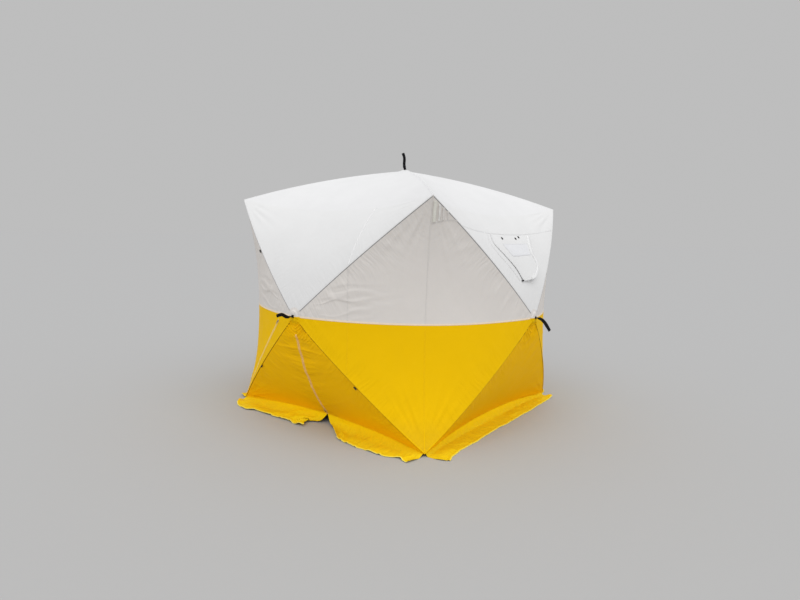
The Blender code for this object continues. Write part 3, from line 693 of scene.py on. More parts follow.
def hard_paint(name, colour, roughness, metallic=0.0, grain=420.0, depth=0.00012, worn=WORN, gloss=0.5):
    """Moulded plastic, glass-fibre rod or metal: fine grain, uneven gloss and rubbed edges."""
    material, tree, shader = blank(name)
    place = place_in(tree)
    tint = varied(colour, texture_noise(place, 35.0, 4), 0.75, 1.25)
    edge = node(tree, "ShaderNodeNewGeometry").outputs["Pointiness"]
    rub = times(ranged(edge, 0.53, 0.62, 0.0, 0.45), texture_noise(place, 90.0, 3))
    looks = {
        "Base Color": mixed(rub, tint, worn + (1,)),
        "Roughness": ranged(texture_noise(place, 120.0, 3), 0.0, 1.0, roughness * 0.8, roughness * 1.25),
        "Normal": bumped(texture_noise(place, grain, 2), depth, 0.7),
        "Metallic": metallic,
        "Specular IOR Level": gloss,
    }
    fill(shader, looks)
    return material


def teeth_paint(name, colour, worn):
    return hard_paint(name, colour, 0.6, worn=worn, gloss=CLOTH_GLOSS)


def net_paint(name, colour):
    """Fine insect net: a grid of threads with holes between them."""
    material, tree, shader = blank(name)
    weave = weave_height(map_in(tree, "Strip"), NET_PITCH)
    looks = {
        "Base Color": varied(colour, texture_noise(place_in(tree), 40.0, 3), 0.8, 1.2),
        "Alpha": ranged(weave, 0.55, 0.75, 0.25, 1.0),
        "Normal": bumped(weave, 0.0004),
        "Roughness": 0.6,
    }
    fill(shader, looks)
    return material


# Painted shade: the same white cloth as the roof and top, made darker and warmer on the upright side
# triangles, with painted warm bounce light
SHADED_SIDE_WHITE = (0.735, 0.700, 0.668)

# Cloth: name, colour, height of the soil above the ground and strength of the fine puckers
CLOTH_LOOKS = {
    "roof": ("roof_cloth", (0.77, 0.77, 0.775), 0.0, 0.3),
    "top": ("top_cloth", (0.765, 0.765, 0.765), 0.0, 0.4),
    "side": ("side_cloth", SHADED_SIDE_WHITE),
    "yellow": ("yellow_cloth", (0.92, 0.555, 0.001), 0.25),
    "low": ("low_cloth", (0.96, 0.535, 0.001), 0.0, 1.5),
    "skirt": ("skirt_cloth", (1.0, 0.690, 0.002), 0.05, 1.3),
    # The patch takes the side white, with its painted shade
    "patch": ("patch_cloth", SHADED_SIDE_WHITE, 0.0, 0.5),
}
# Tapes: name, colour, colour of the thread, place of the stitches across, and ribs
TAPE_LOOKS = {
    "label": ("label_film", (0.775, 0.78, 0.80), (0.71, 0.71, 0.73), 0.93),
    "roof_tape": ("roof_tape", (0.775, 0.775, 0.78), (0.70, 0.70, 0.71)),
    "top_tape": ("top_tape", (0.78, 0.78, 0.78), (0.60, 0.60, 0.61)),
    # The side tape takes the same painted shade as the side white
    "side_tape": ("side_tape", (0.735, 0.705, 0.675), (0.58, 0.56, 0.54)),
    "pale_tape": ("pale_tape", (0.80, 0.785, 0.76), (0.60, 0.58, 0.56)),
    # Painted shadow: the thin dark line beside a pole seam on its darker side, grey on white cloth and ochre
    # on yellow
    "grey_tape": ("grey_tape", (0.34, 0.335, 0.33), (0.25, 0.25, 0.26)),
    "yellow_tape": ("yellow_tape", (0.98, 0.60, 0.003), (0.60, 0.35, 0.01)),
    "ochre_tape": ("ochre_tape", (0.42, 0.185, 0.002), (0.25, 0.12, 0.003)),
    "seam_tape": ("seam_tape", (0.93, 0.79, 0.62), (0.75, 0.58, 0.40)),
    "zip_tape": ("zip_tape", (1.0, 0.57, 0.19), (0.85, 0.48, 0.18), 0.55),
    "cream_tape": ("cream_tape", (1.0, 0.68, 0.20), (0.80, 0.48, 0.12), 0.55),
    # Painted highlight: a white brighter than the cloth, on the raised width seams and the vent's rolled
    # edge, which are real
    "width_tape": ("width_tape", (0.87, 0.87, 0.87), (0.66, 0.66, 0.67)),
    # Painted highlight: the skirt's free edge, paler and brighter than the skirt, as the lit rim of its
    # rolled edge
    "skirt_rim_highlight_tape": ("skirt_edge", (1.0, 0.86, 0.16), (0.85, 0.60, 0.05), 0.5),
    "pleat": ("pleat_cloth", (0.765, 0.755, 0.695), (0.60, 0.58, 0.52), 0.85),
    "webbing": ("webbing", (0.010, 0.010, 0.011), (0.05, 0.05, 0.055), 0.80, 1.1),
    "pocket": ("pocket_web", (0.70, 0.70, 0.71), (0.35, 0.35, 0.36)),
}
PAINTS = {
    "hub": hard_paint("hub_nylon", (0.020, 0.021, 0.023), 0.45),
    "pole": hard_paint("pole_fibre", (0.055, 0.058, 0.062), 0.34, 0.0, 900.0, 0.00008),
    "teeth": teeth_paint("zip_teeth", (1.0, 0.62, 0.22), (1.0, 0.66, 0.28)),
    "cream_teeth": teeth_paint("cream_teeth", (1.0, 0.66, 0.17), (1.0, 0.72, 0.25)),
    "slider": hard_paint("zip_slider", (0.42, 0.40, 0.36), 0.32, 0.9, 600.0, 0.00005, (0.75, 0.73, 0.70)),
    "snap": hard_paint("snap_button", (0.018, 0.018, 0.020), 0.50, worn=(0.06, 0.06, 0.06)),
    "toggle": hard_paint("toggle_nylon", (0.014, 0.012, 0.011), 0.58, worn=(0.05, 0.05, 0.05)),
    "net": net_paint("vent_net", (0.30, 0.30, 0.31)),
}
PAINTS |= {key: cloth_paint(*look) for key, look in CLOTH_LOOKS.items()}
PAINTS |= {key: tape_paint(*look) for key, look in TAPE_LOOKS.items()}


# Meshes


def meshgrid(first, second):
    return np.meshgrid(first, second, indexing="ij")


def put(name, mesh, *paints):
    item = bpy.data.objects.new(name, mesh)
    bpy.context.scene.collection.objects.link(item)
    for paint in paints:
        item.data.materials.append(PAINTS[paint])
    return item


def set_pull(mesh, pulled):
    """Keep at each point how much it follows the second of its two bodies."""
    layer = mesh.attributes.new("pull", "FLOAT", "POINT")
    layer.data.foreach_set("value", np.asarray(pulled, np.float32).ravel())


def grid_mesh(name, grid, maps=None, pulled=None, outward=None, closed=False):
    """A mesh over a grid of points, with maps of two values for each point."""
    grid = np.asarray(grid, float)
    rows, columns = grid.shape[:2]
    index = np.arange(rows * columns).reshape(rows, columns)
    if closed:
        index = np.concatenate([index, index[:, :1]], 1)
    quads = np.stack([index[:-1, :-1], index[:-1, 1:], index[1:, 1:], index[1:, :-1]], -1).reshape(-1, 4)
    points = grid.reshape(-1, 3)
    if outward is not None:
        a, b, c, d = (points[quads[:, k]] for k in range(4))
        if (np.cross(c - a, d - b).sum(0) * outward).sum() < 0:
            quads = quads[:, ::-1]
    mesh = bpy.data.meshes.new(name)
    mesh.from_pydata(points.tolist(), [], quads.tolist())
    for label, values in (maps or {}).items():
        layer = mesh.uv_layers.new(name=label)
        layer.data.foreach_set("uv", np.asarray(values, float).reshape(-1, 2)[quads.ravel()].ravel())
    if pulled is not None:
        set_pull(mesh, pulled)
    mesh.shade_smooth()
    return mesh


def made_whole(mesh, open_sides=0):
    """Fill the open ends of a solid of that many sides, and turn its faces outward."""
    shape = bmesh.new()
    shape.from_mesh(mesh)
    if open_sides:
        bmesh.ops.holes_fill(shape, edges=shape.edges[:], sides=open_sides)
    bmesh.ops.recalc_face_normals(shape, faces=shape.faces[:])
    shape.to_mesh(mesh)
    shape.free()


def sharpened(mesh, crease):
    mesh.shade_smooth()
    mesh.set_sharp_from_angle(angle=math.radians(crease))


def closed_mesh(name, grid, maps=None, pulled=None, crease=40):
    """A closed solid over rings of points, with both of its ends filled."""
    mesh = grid_mesh(name, grid, maps, pulled, closed=True)
    made_whole(mesh, grid.shape[1])
    sharpened(mesh, crease)
    return mesh


def thickened(item, thickness, offset=-1.0, crease=50):
    shell = item.modifiers.new("Shell", "SOLIDIFY")
    shell.thickness = thickness
    shell.offset = offset
    graph = bpy.context.evaluated_depsgraph_get()
    graph.update()
    mesh = bpy.data.meshes.new_from_object(item.evaluated_get(graph))
    item.modifiers.clear()
    item.data = mesh
    sharpened(mesh, crease)


def line_frame(points, out):
    """Unit directions across a line on a surface, and outward, at right angles to the line."""
    run = unit(np.gradient(points, axis=0))
    out = unit(out - run * column((run * out).sum(-1)))
    return np.cross(run, out), out


def run_length(points):
    steps = np.linalg.norm(np.diff(points, axis=0), axis=1)
    return np.concatenate([[0], np.cumsum(steps)])


# The outline of a flat strip, as shares of half its width and of its thickness
STRIP_SECTION = (
    (-1, 0), (-0.98, 0.8), (-0.9, 1), (-0.45, 1), (0, 1), (0.45, 1), (0.9, 1), (0.98, 0.8), (1, 0), (0, 0),
)


def ribbon_mesh(name, points, out, width, thickness, pulled=None):
    """A flat strip of one width, or one for each point, that lies on its line and rises outward."""
    across, out = line_frame(points, np.broadcast_to(out, points.shape))
    half = column(np.broadcast_to(width, len(points)) / 2)
    grid = np.stack([points + across * half * x + out * thickness * y for x, y in STRIP_SECTION], 1)
    length, side = meshgrid(run_length(points), np.array([x for x, _ in STRIP_SECTION]))
    if pulled is not None:
        pulled, _ = meshgrid(pulled, side[0])
    return closed_mesh(name, grid, {"Strip": together(length, side)}, pulled)


def tube_mesh(name, points, radii, side, sides=12, crease=40):
    """A round bar along a line. Its radius may change from point to point."""
    points = np.asarray(points, float)
    first, second = line_frame(points, np.broadcast_to(side, points.shape))
    radii = column(np.broadcast_to(radii, len(points)))
    turns = np.linspace(0, 2 * math.pi, sides, endpoint=False)
    rings = [points + radii * (first * math.cos(turn) + second * math.sin(turn)) for turn in turns]
    return closed_mesh(name, np.stack(rings, 1), crease=crease)


# Pieces and their bodies: parented to a body, or with their pull read and dropped


def bend(item, first, second, amount=None):
    """Read the share each point takes of the second body: one share for all, or the pull kept at each point,
    which is dropped from the mesh. Then bake the piece's place into its points. The two bodies are not used.
    """
    values = np.full(len(item.data.vertices), amount or 0, np.float32)
    if amount is None:
        layer = item.data.attributes["pull"]
        layer.data.foreach_get("value", values)
        item.data.attributes.remove(layer)
    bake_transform(item)


def follow_hub(item, face, amount=None):
    bend(item, "base", f"{face.name}_hub", amount)


def follow_door(item, body):
    """Read the swing kept at each point of a piece of the door, none on its pole, and drop it from the mesh.
    """
    bend(item, "front_door_head", body)


def ride_on(item, body):
    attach(item, body)


# Cover


def surface(face, side, share, along, lift=0.0):
    """Points of the rumpled cover, raised by a height."""
    points = cover(face, side, share, along)
    normals = cover_normal(face, side, share, along)
    return points + normals * column(rumple(face, side, points, share, along) + lift)


def surface_over(face, across, up):
    """Points of the cover over places in the face's plane, and their shares of the way to the hub."""
    a, b = across / face.half_across, up / face.half_up
    points = np.zeros(np.shape(a) + (3,))
    upright = np.abs(b) > np.abs(a)
    main, other = np.where(upright, b, a), np.where(upright, a, b)
    for side in SIDES:
        x, y = SIDE_SIGNS[side]
        chosen = (upright == bool(y)) & (main * (x + y) > 0)
        along = 0.5 + 0.5 * other[chosen] / np.abs(main[chosen])
        points[chosen] = surface(face, side, 1 - np.abs(main[chosen]), along)
    return points, 1 - np.abs(main)


def rows_to(top):
    """Shares of the way to the hub, closer together near it, where the folds are finest."""
    share = np.linspace(0, 1, CLOTH_ROWS)
    return top * (share + ROW_CROWDING * share * (1 - share))


def two_folds(first, second):
    """The two maps of a cloth: along a seam and away from it, for each of two seams."""
    return {"FoldA": together(*first), "FoldB": together(*second)}


def pole_folds(points, face, start, end):
    return two_folds(from_line(points, start, face.peak), from_line(points, end, face.peak))


def cloth(name, points, maps, pulled, outward, *paints, thickness=CLOTH_THICKNESS, offset=-1.0):
    """A piece of cloth over a grid of points. A second paint is for what lies lower than the walls' hubs."""
    item = put(name, grid_mesh(name, points, maps, pulled, outward), *paints)
    if len(paints) > 1:
        for part in item.data.polygons:
            part.material_index = int(part.center.z < FRONT.centre[2])
    thickened(item, thickness, offset)
    return item


def triangle(label, solid, face, side, shares, columns, *paints):
    """One triangle of the cover, or the part of it between two shares of the way to the hub."""
    share, along = meshgrid(shares, np.linspace(0, 1, columns + 1))
    points = surface(face, side, share, along)
    maps = pole_folds(points, face, *(face.corner(signs) for signs in side_corners(side)))
    item = cloth(f"{label}_cloth", points, maps, pull_at(face, side, share, along), face.normal, *paints)
    follow_hub(item, face)
    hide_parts(solid)


def cover_panel(face, side):
    """A whole triangle. The side ones of a wall are white above the hub and yellow below it."""
    kind = panel_kind(face, side)
    if face is ROOF:
        side_name = {"top": "back", "bottom": "front"}.get(side, side)
    else:
        side_name = side
    label = f"{face.name}_{side_name}"
    paints = ("side", "yellow") if kind == "side" else (kind,)
    triangle(label, f"{label}_panel", face, side, rows_to(HUB_OPENING_SHARE), CLOTH_COLUMNS, *paints)


DOOR_HEAD_ROWS = 50
DOOR_COLUMNS = 72


def door_head():
    """The fixed piece of the front wall over the door."""
    shares = np.linspace(DOOR_HEAD_SHARE, HUB_OPENING_SHARE, DOOR_HEAD_ROWS)
    triangle("front_door_head", "front_door_head", FRONT, "bottom", shares, DOOR_COLUMNS, "low")


def door_flap(name, start, end):
    """One half of the door, from its pole to the zip, between two shares along the wall."""
    share, fraction = meshgrid(rows_to(DOOR_TOP_SHARE), np.linspace(0, 1, DOOR_COLUMNS + 1))
    gap = ZIP_GAP / row_length(FRONT, "bottom", share)
    first, last = (start, end - gap) if name == "left" else (start + gap, end)
    along = first + (last - first) * fraction
    points = surface(FRONT, "bottom", share, along)
    corner, middle = FRONT.corner((-1 if name == "left" else 1, -1)), cover(FRONT, "bottom", 0.0, 0.5)
    maps, swing = pole_folds(points, FRONT, corner, middle), swing_at(share, along, DOOR_BEND)
    item = cloth(f"front_door_{name}_cloth", points, maps, swing, FRONT.normal, "low")
    follow_door(item, f"front_door_{name}")
    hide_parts(f"front_door_{name}")


# Hub patches

PATCH_RADIUS = 0.062
PATCH_START = 0.0006
PATCH_HEM = 0.006
PATCH_LIFT = 0.0011
PATCH_GATHERS = 22
PATCH_GATHER_HEIGHT = 0.0008
PATCH_GATHER_PLACE = 0.046
PATCH_GATHER_SPREAD = 0.010
CAP_RADIUS = 0.036
# The moulded cap's outline with room over it, as radius and height from the peak
CAP_OUTLINE = (
    (0.0, 0.0073), (0.0126, 0.0068), (0.0252, 0.0053), (0.037, 0.0016), (0.042, -0.0040), (0.062, -0.0142),
)


def hub_patch(face):
    """A round patch of cover cloth, drawn over the hub's cap and sewn down round it."""
    reach, turn = meshgrid(np.linspace(PATCH_START, PATCH_RADIUS, 26), np.linspace(0, 2 * math.pi, 97))
    across, up = reach * np.cos(turn), reach * np.sin(turn)
    ground, share = surface_over(face, across, up)
    low = (ground - face.peak) @ face.normal + PATCH_LIFT
    high = np.interp(reach, *zip(*CAP_OUTLINE))
    down = eased((reach - CAP_RADIUS) / (PATCH_RADIUS - CAP_RADIUS - PATCH_HEM))
    fold = np.sin(PATCH_GATHERS * turn + 3 * noise(together(turn, 0, 0), 4.0))
    bulk = bell(reach - PATCH_GATHER_PLACE, PATCH_GATHER_SPREAD)
    height = np.maximum(low, high * (1 - down) + low * down) + PATCH_GATHER_HEIGHT * bulk * (1 + fold)
    points = face.from_hub(across, up, height)
    maps = two_folds((turn * 0.05, PATCH_RADIUS - reach), (turn * 0.05, reach))
    paints = ("roof",) if face is ROOF else ("side", "yellow")
    item = cloth(f"{face.name}_hub_patch", points, maps, pull(share), face.normal, *paints)
    follow_hub(item, face)


# Pull straps: webbing doubled into a loop, on the line of the CAD strap

STRAP_WIDTH = 0.0235
STRAP_PLY = 0.0014
STRAP_LENGTH = 0.1425
STRAP_FOOT = 0.010
STRAP_FOOT_DEPTH = 0.0030
STRAP_FOOT_CROWN = 0.0018
STRAP_HEIGHT = 0.0112
STRAP_CURL = 0.006
STRAP_SWING = 0.12
STRAP_DROOP_POWER = 1.6
STRAP_DROOP_LOSS = 0.45
STRAP_OPENING = 0.0024
STRAP_STEPS = 48
KEEPER_SHARE = 0.20
KEEPER_WIDTH = 0.013
# For each face: the lean and droop of the CAD strap, its reach, its twist in degrees, and its bends
STRAP_SHAPES = {
    "roof": (-1, 0.10, 1.0, 35, ((0.5, 0.002),)),
    "front": (-1, -0.10, 0.84, 75, ((0.22, -0.007), (0.45, 0.001), (0.70, 0.016), (0.88, 0.010))),
    "right": (1, 0.60, 1.0, 58, ((0.25, 0.004), (0.6, 0.004))),
    "back": (-1, -0.10, 0.92, 40, ((0.25, 0.005), (0.5, -0.004), (0.75, 0.006))),
    "left": (1, 0.75, 1.0, 35, ((0.3, 0.004), (0.7, -0.002))),
}


def strap_line(face, share):
    """The strap's middle line with its crosswise direction, at shares of its free length."""
    lean, droop, reach, twist, bends = STRAP_SHAPES[face.name]
    out = STRAP_LENGTH * reach * share
    across = lean * (STRAP_SWING * out + STRAP_CURL * np.sin(2 * math.pi * share))
    rise = smoothed(np.interp(share, *zip((0.0, 0.0), *bends, (1.0, 0.0))), 30)
    up = rise - droop * STRAP_LENGTH * share**STRAP_DROOP_POWER
    points = face.from_hub(across, up, STRAP_HEIGHT + out * (1 - STRAP_DROOP_LOSS * droop * share))
    return points, around(math.radians(twist) * eased(share / 0.45), face.across, face.up)


def strap_loop(middle, flat, run, opening):
    """The doubled webbing: out on one side of the middle line, round the tip and back."""
    turn = np.linspace(0, math.pi, 9)[1:-1]
    tip_out = around(turn, flat[-1], run[-1])
    tip = middle[-1] + tip_out * opening[-1]
    there, back = middle + flat * column(opening), middle - flat * column(opening)
    points = np.concatenate([there, tip, back[::-1]])
    return ribbon_mesh("loop", points, np.concatenate([flat, tip_out, -flat[::-1]]), STRAP_WIDTH, STRAP_PLY)


def strap_keeper(middle, side, flat, opening):
    """A short band sewn round both layers."""
    turn = np.linspace(0, 2 * math.pi, 25)
    wide, thick = STRAP_WIDTH / 2 + 0.0006, opening + STRAP_PLY + 0.0004
    reach = 1 / np.maximum(np.abs(np.cos(turn)) / wide, np.abs(np.sin(turn)) / thick)
    ring = middle + column(reach) * around(turn, side, flat)
    return ribbon_mesh("keeper", ring, around(turn, side * thick, flat * wide), KEEPER_WIDTH, STRAP_PLY)


def strap_foot(face):
    """The end of the webbing, laid across the top of the hub patch."""
    across = np.linspace(-STRAP_FOOT, STRAP_FOOT, 13)
    rise = STRAP_HEIGHT - STRAP_FOOT_DEPTH - STRAP_FOOT_CROWN * (np.abs(across) / STRAP_FOOT) ** 2
    points = face.from_hub(across * 0, across, rise)
    return ribbon_mesh("foot", points, face.normal, STRAP_WIDTH, STRAP_PLY)


def pull_strap(face):
    share = np.linspace(0, 1, STRAP_STEPS)
    middle, side = strap_line(face, share)
    run = unit(np.gradient(middle, axis=0))
    flat = unit(np.cross(run, side))
    opening = STRAP_OPENING * np.sin(math.pi * share**1.7) + STRAP_PLY * 0.55
    held = int(KEEPER_SHARE * STRAP_STEPS)
    meshes = {
        "loop": strap_loop(middle, flat, run, opening),
        "keeper": strap_keeper(middle[held], side[held], flat[held], opening[held]),
        "foot": strap_foot(face),
    }
    name = f"{face.name}_pull_strap"
    for label, mesh in meshes.items():
        item = put(f"{name}_{label}", mesh, "webbing")
        ride_on(item, f"{face.name}_hub")
        if label == "loop":
            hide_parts(name)


# Seam tapes

TAPE_WIDTH = 0.0085
TAPE_LIFT = 0.0010
ROOF_TAPE_LIFT = 0.00025
TAPE_ROWS = 80
TAPE_START_SHARE = 0.004
TAPE_END_SHARE = 0.945
TAPE_PROBE = 0.004
SEAM_THICKNESS = 0.0009
SEAM_LIFT = 0.0003
COLOUR_SEAM_WIDTH = 0.013
CORNER_SEAM_WIDTH = 0.007
HEM_SEAM_WIDTH = 0.022
HEM_SEAM_SHARE = 0.012
VENT_SEAM_WIDTH = 0.010
VENT_SEAM_SHARE = 0.222
# Across a pole seam: the share of the tape's half width, the side's number and the share of its lift
TAPE_SECTION = (
    (1, 0, 0.15), (0.8, 0, 0.9), (0.35, 0, 1), (0, None, 1), (0.35, 1, 1), (0.8, 1, 0.9), (1, 1, 0.15),
)
# Tapes of a pole seam: the pale one, the paint of the painted shadow line along its edge on the darker side,
# the strips across that this painted shadow takes, and the slot
TAPE_LAYERS = {
    "roof": ("roof_tape", "roof_tape", (4, 5), "cloth_white"),
    "low": ("yellow_tape", "ochre_tape", (0, 1), "cloth_yellow"),
    "high": ("top_tape", "grey_tape", (4, 5), "cloth_white"),
}
# The upright seam between two widths of cloth, as a share of the wall from its left corner, and where it ends
WIDTH_SEAM_PLACE = 0.72
WIDTH_SEAM_END = 0.545
WIDTH_SEAM_WIDTH = 0.012
WIDTH_SEAM_THICKNESS = 0.0022


def beside_pole(face, side, signs, share, distance, lift):
    """Points at a distance from a pole line on one of its two triangles, raised by a height."""
    along = np.minimum(distance / (row_length(face, side, share) * slant(face, side)), 0.4)
    if signs == side_corners(side)[1]:
        along = 1 - along
    return surface(face, side, share, along, lift)


def pole_tape(face, signs):
    """The lapped seam over a pole: a pale tape, with a painted shadow line, grey or ochre, along its edge on
    the darker side.
    """
    sides = corner_sides(signs)
    share = np.linspace(TAPE_START_SHARE, TAPE_END_SHARE, TAPE_ROWS)
    lift = ROOF_TAPE_LIFT if face is ROOF else TAPE_LIFT
    line = pole_line(face, signs, share)
    rows = []
    for width, number, rise in TAPE_SECTION:
        if number is None:
            first, second = (beside_pole(face, side, signs, share, TAPE_PROBE, TAPE_PROBE) for side in sides)
            rows.append(line + unit(first + second - 2 * line) * lift)
        else:
            rows.append(beside_pole(face, sides[number], signs, share, TAPE_WIDTH * width, lift * rise))
    places = np.array([-width if number == 0 else width for width, number, _ in TAPE_SECTION])
    run, across = meshgrid(share * np.linalg.norm(face.peak - face.corner(signs)), places)
    pulled, _ = meshgrid(pull(share), places)
    mesh = grid_mesh("tape", np.stack(rows, 1), {"Strip": together(run, across)}, pulled, face.normal)
    kind = "roof" if face is ROOF else "low" if signs[1] < 0 else "high"
    pale, dark, shadow_strips, slot = TAPE_LAYERS[kind]
    item = put(f"{pole_name(face, signs)}_seam", mesh, pale, dark)
    # The strips on the darker side are painted with the shadow line
    for part in item.data.polygons:
        part.material_index = int(part.index % (len(TAPE_SECTION) - 1) in shadow_strips)
    follow_hub(item, face)


def course(*places, steps=60):
    """A smooth course through places given as shares to the hub and along the side."""
    fraction, marks = np.linspace(0, 1, steps), np.linspace(0, 1, len(places))
    share, along = (np.interp(fraction, marks, values) for values in zip(*places))
    return share, smoothed(along, 20 if len(places) > 2 else 0)


def seam(name, face, side, way, width, paint, lift=SEAM_LIFT, thickness=SEAM_THICKNESS, body=None):
    """A sewn tape on one triangle, on a course of shares to the hub and shares along the side."""
    points = surface(face, side, *way, lift)
    pulled = swing_at(*way, DOOR_BEND) if body else pull_at(face, side, *way)
    mesh = ribbon_mesh(name, points, cover_normal(face, side, *way), width, thickness, pulled)
    item = put(name, mesh, paint)
    if body:
        follow_door(item, body)
    else:
        follow_hub(item, face)


def upright_seam(name, face, share, ends, paint):
    """A narrow seam on a wall's right triangle, at one share of the way to the hub."""
    seam(name, face, "right", course(*((share, end) for end in ends)), CORNER_SEAM_WIDTH, paint, 0.0)


def hem_seam(name, face, start, end, body=None):
    way = course((HEM_SEAM_SHARE, start), (HEM_SEAM_SHARE, end))
    seam(name, face, "bottom", way, HEM_SEAM_WIDTH, "yellow_tape", body=body)


def width_seams(face):
    """The seam between two widths of cloth: on the right triangle, and on the top one where no vent is."""
    share = np.linspace(0, WIDTH_SEAM_END, 60)
    along = (WIDTH_SEAM_PLACE - share / 2) / (1 - share)
    name = f"{face.name}_width_seam"
    if face is not RIGHT:
        way = share, along
        # The top width seam is painted brighter than its cloth: a painted highlight on a real seam
        seam(f"{name}_top", face, "top", way, WIDTH_SEAM_WIDTH, "width_tape", thickness=WIDTH_SEAM_THICKNESS)
    place = 2 - 2 * WIDTH_SEAM_PLACE
    upright_seam(f"{name}_high", face, place, (0.512, 0.975), "side_tape")
    upright_seam(f"{name}_low", face, place, (0.025, 0.488), "yellow_tape")


def seams():
    for face in FACES:
        for signs in CORNER_SIGNS:
            pole_tape(face, signs)
    for face in WALLS:
        for side in ("left", "right"):
            name = f"{face.name}_{side}_colour_seam"
            seam(name, face, side, course((0.0, 0.5), (0.955, 0.5)), COLOUR_SEAM_WIDTH, "seam_tape")
        upright_seam(f"{face.name}_corner_seam_low", face, 0.0, (0.008, 0.494), "yellow_tape")
        upright_seam(f"{face.name}_corner_seam_high", face, 0.0, (0.506, 0.992), "side_tape")
        if face is not FRONT:
            hem_seam(f"{face.name}_hem", face, 0.01, 0.99)
        width_seams(face)
    hem_seam("front_door_left_hem", FRONT, 0.01, 0.497, "front_door_left")
    hem_seam("front_door_right_hem", FRONT, 0.503, 0.99, "front_door_right")
    way = course((VENT_SEAM_SHARE, 0.012), (VENT_SEAM_SHARE, 0.988))
    seam("right_vent_seam", RIGHT, "top", way, VENT_SEAM_WIDTH, "top_tape")


# Door zips

ZIP_TAPE_WIDTH = 0.010
ZIP_TAPE_OFFSET = 0.0068
ZIP_TAPE_THICKNESS = 0.0008
ZIP_STEPS = 120
TEETH_LIFT = 0.0004
TOOTH_PITCH = 0.0036
TOOTH_SIZE = (0.0032, 0.0016, 0.0017)
TOOTH_OFFSET = 0.0012
ZIP_START_SHARE = 0.004
ZIP_STOP_SHARE = 0.846
ZIP_STOP_WIDTH = 0.021
ZIP_STOP_THICKNESS = 0.0016
FACING_WIDTH = 0.018
FACING_LIFT = -0.0034
SECOND_ZIP_TOP_SHARE = 0.79
SECOND_ZIP_FOOT_SHARE = 0.030
SECOND_ZIP_TOP_OFFSET = 0.092
SECOND_ZIP_FOOT_OFFSET = 0.0185
SECOND_TAPE_WIDTH = 0.0096
SECOND_TAPE_OFFSET = 0.0056
SLIDER_REST_SHARE = 0.03
SLIDER_LIFT = 0.0006
PLATE_LIFT = 0.0018
PLATE_THICKNESS = 0.0026
BRIDGE_START = 0.0100
BRIDGE_LIFT = 0.0040
BRIDGE_REACH = 0.0062
BRIDGE_RISE = 0.0032
BRIDGE_RADIUS = 0.0009
TAB_START = 0.0075
TAB_LIFT = 0.0052
TAB_RISE = 0.03
TAB_THICKNESS = 0.0014
# A tooth's corners, as shares of its size across, along and outward
TOOTH_CORNERS = (
    (-0.5, -0.5, 0), (0.5, -0.35, 0), (0.5, 0.35, 0), (-0.5, 0.5, 0),
    (-0.5, -0.4, 0.9), (0.42, -0.25, 1), (0.42, 0.25, 1), (-0.5, 0.4, 0.9),
)
TOOTH_FACES = ((0, 3, 2, 1), (4, 5, 6, 7), (0, 1, 5, 4), (1, 2, 6, 5), (2, 3, 7, 6), (3, 0, 4, 7))
# A slider's plate and its pull tab: distance along and width
PLATE_OUTLINE = (
    (0.0, 0.0075), (0.0015, 0.0095), (0.006, 0.0110), (0.015, 0.0100), (0.0205, 0.0082), (0.022, 0.0060),
)
TAB_OUTLINE = (
    (0.0, 0.003), (0.001, 0.0050), (0.004, 0.0062), (0.012, 0.0058),
    (0.026, 0.0070), (0.0295, 0.0058), (0.030, 0.0035),
)


def teeth_mesh(line, out, sign, pulled=None):
    """A row of zip teeth along a line, on one side of it, between the teeth of the other side."""
    length = run_length(line)
    places = np.arange(TOOTH_PITCH * (0.5 if sign > 0 else 1.0), length[-1], TOOTH_PITCH)
    across, out = line_frame(line, out)
    run = unit(np.gradient(line, axis=0))

    def at(values):
        return np.stack([np.interp(places, length, values[:, k]) for k in range(3)], 1)

    middle, across, out, run = at(line), at(across) * sign, at(out), at(run)
    wide, deep, high = TOOTH_SIZE
    corners = [
        middle + across * (TOOTH_OFFSET - x * wide) + run * y * deep + out * z * high
        for x, y, z in TOOTH_CORNERS
    ]
    count = len(TOOTH_CORNERS)
    faces = [[number * count + k for k in face] for number in range(len(places)) for face in TOOTH_FACES]
    mesh = bpy.data.meshes.new("teeth")
    mesh.from_pydata(np.stack(corners, 1).reshape(-1, 3).tolist(), [], faces)
    if pulled is not None:
        set_pull(mesh, np.repeat(np.interp(places, length, pulled), count))
    made_whole(mesh)
    return mesh


def zip_stop():
    """The sewn end of the door zip on the cloth over the door."""
    share = np.linspace(DOOR_HEAD_SHARE + 0.002, ZIP_STOP_SHARE, 12)
    way = share, np.full(len(share), 0.5)
    seam("front_zip_stop", FRONT, "bottom", way, ZIP_STOP_WIDTH, "zip_tape", thickness=ZIP_STOP_THICKNESS)


def head_facing():
    """A strip sewn behind the door head's lower edge, which closes the gap over the door."""
    share = (DOOR_HEAD_SHARE + DOOR_TOP_SHARE) / 2
    way = course((share, 0.012), (share, 0.988))
    seam("front_door_head_facing", FRONT, "bottom", way, FACING_WIDTH, "yellow_tape", FACING_LIFT)


def door_zip():
    """The door zip: a tape and a row of teeth on each flap."""
    share, half = np.linspace(ZIP_START_SHARE, DOOR_TOP_SHARE, ZIP_STEPS), np.full(ZIP_STEPS, 0.5)
    out = cover_normal(FRONT, "bottom", share, half)
    middle = surface(FRONT, "bottom", share, half, TEETH_LIFT)
    for name, sign in (("left", -1), ("right", 1)):
        body = f"front_door_{name}"
        along = half + sign * ZIP_TAPE_OFFSET / row_length(FRONT, "bottom", share)
        points = surface(FRONT, "bottom", share, along, SEAM_LIFT)
        tape = ribbon_mesh("tape", points, out, ZIP_TAPE_WIDTH, ZIP_TAPE_THICKNESS)
        ride_on(put(f"{body}_zip_tape", tape, "zip_tape"), body)
        ride_on(put(f"{body}_zip_teeth", teeth_mesh(middle, out, sign), "teeth"), body)


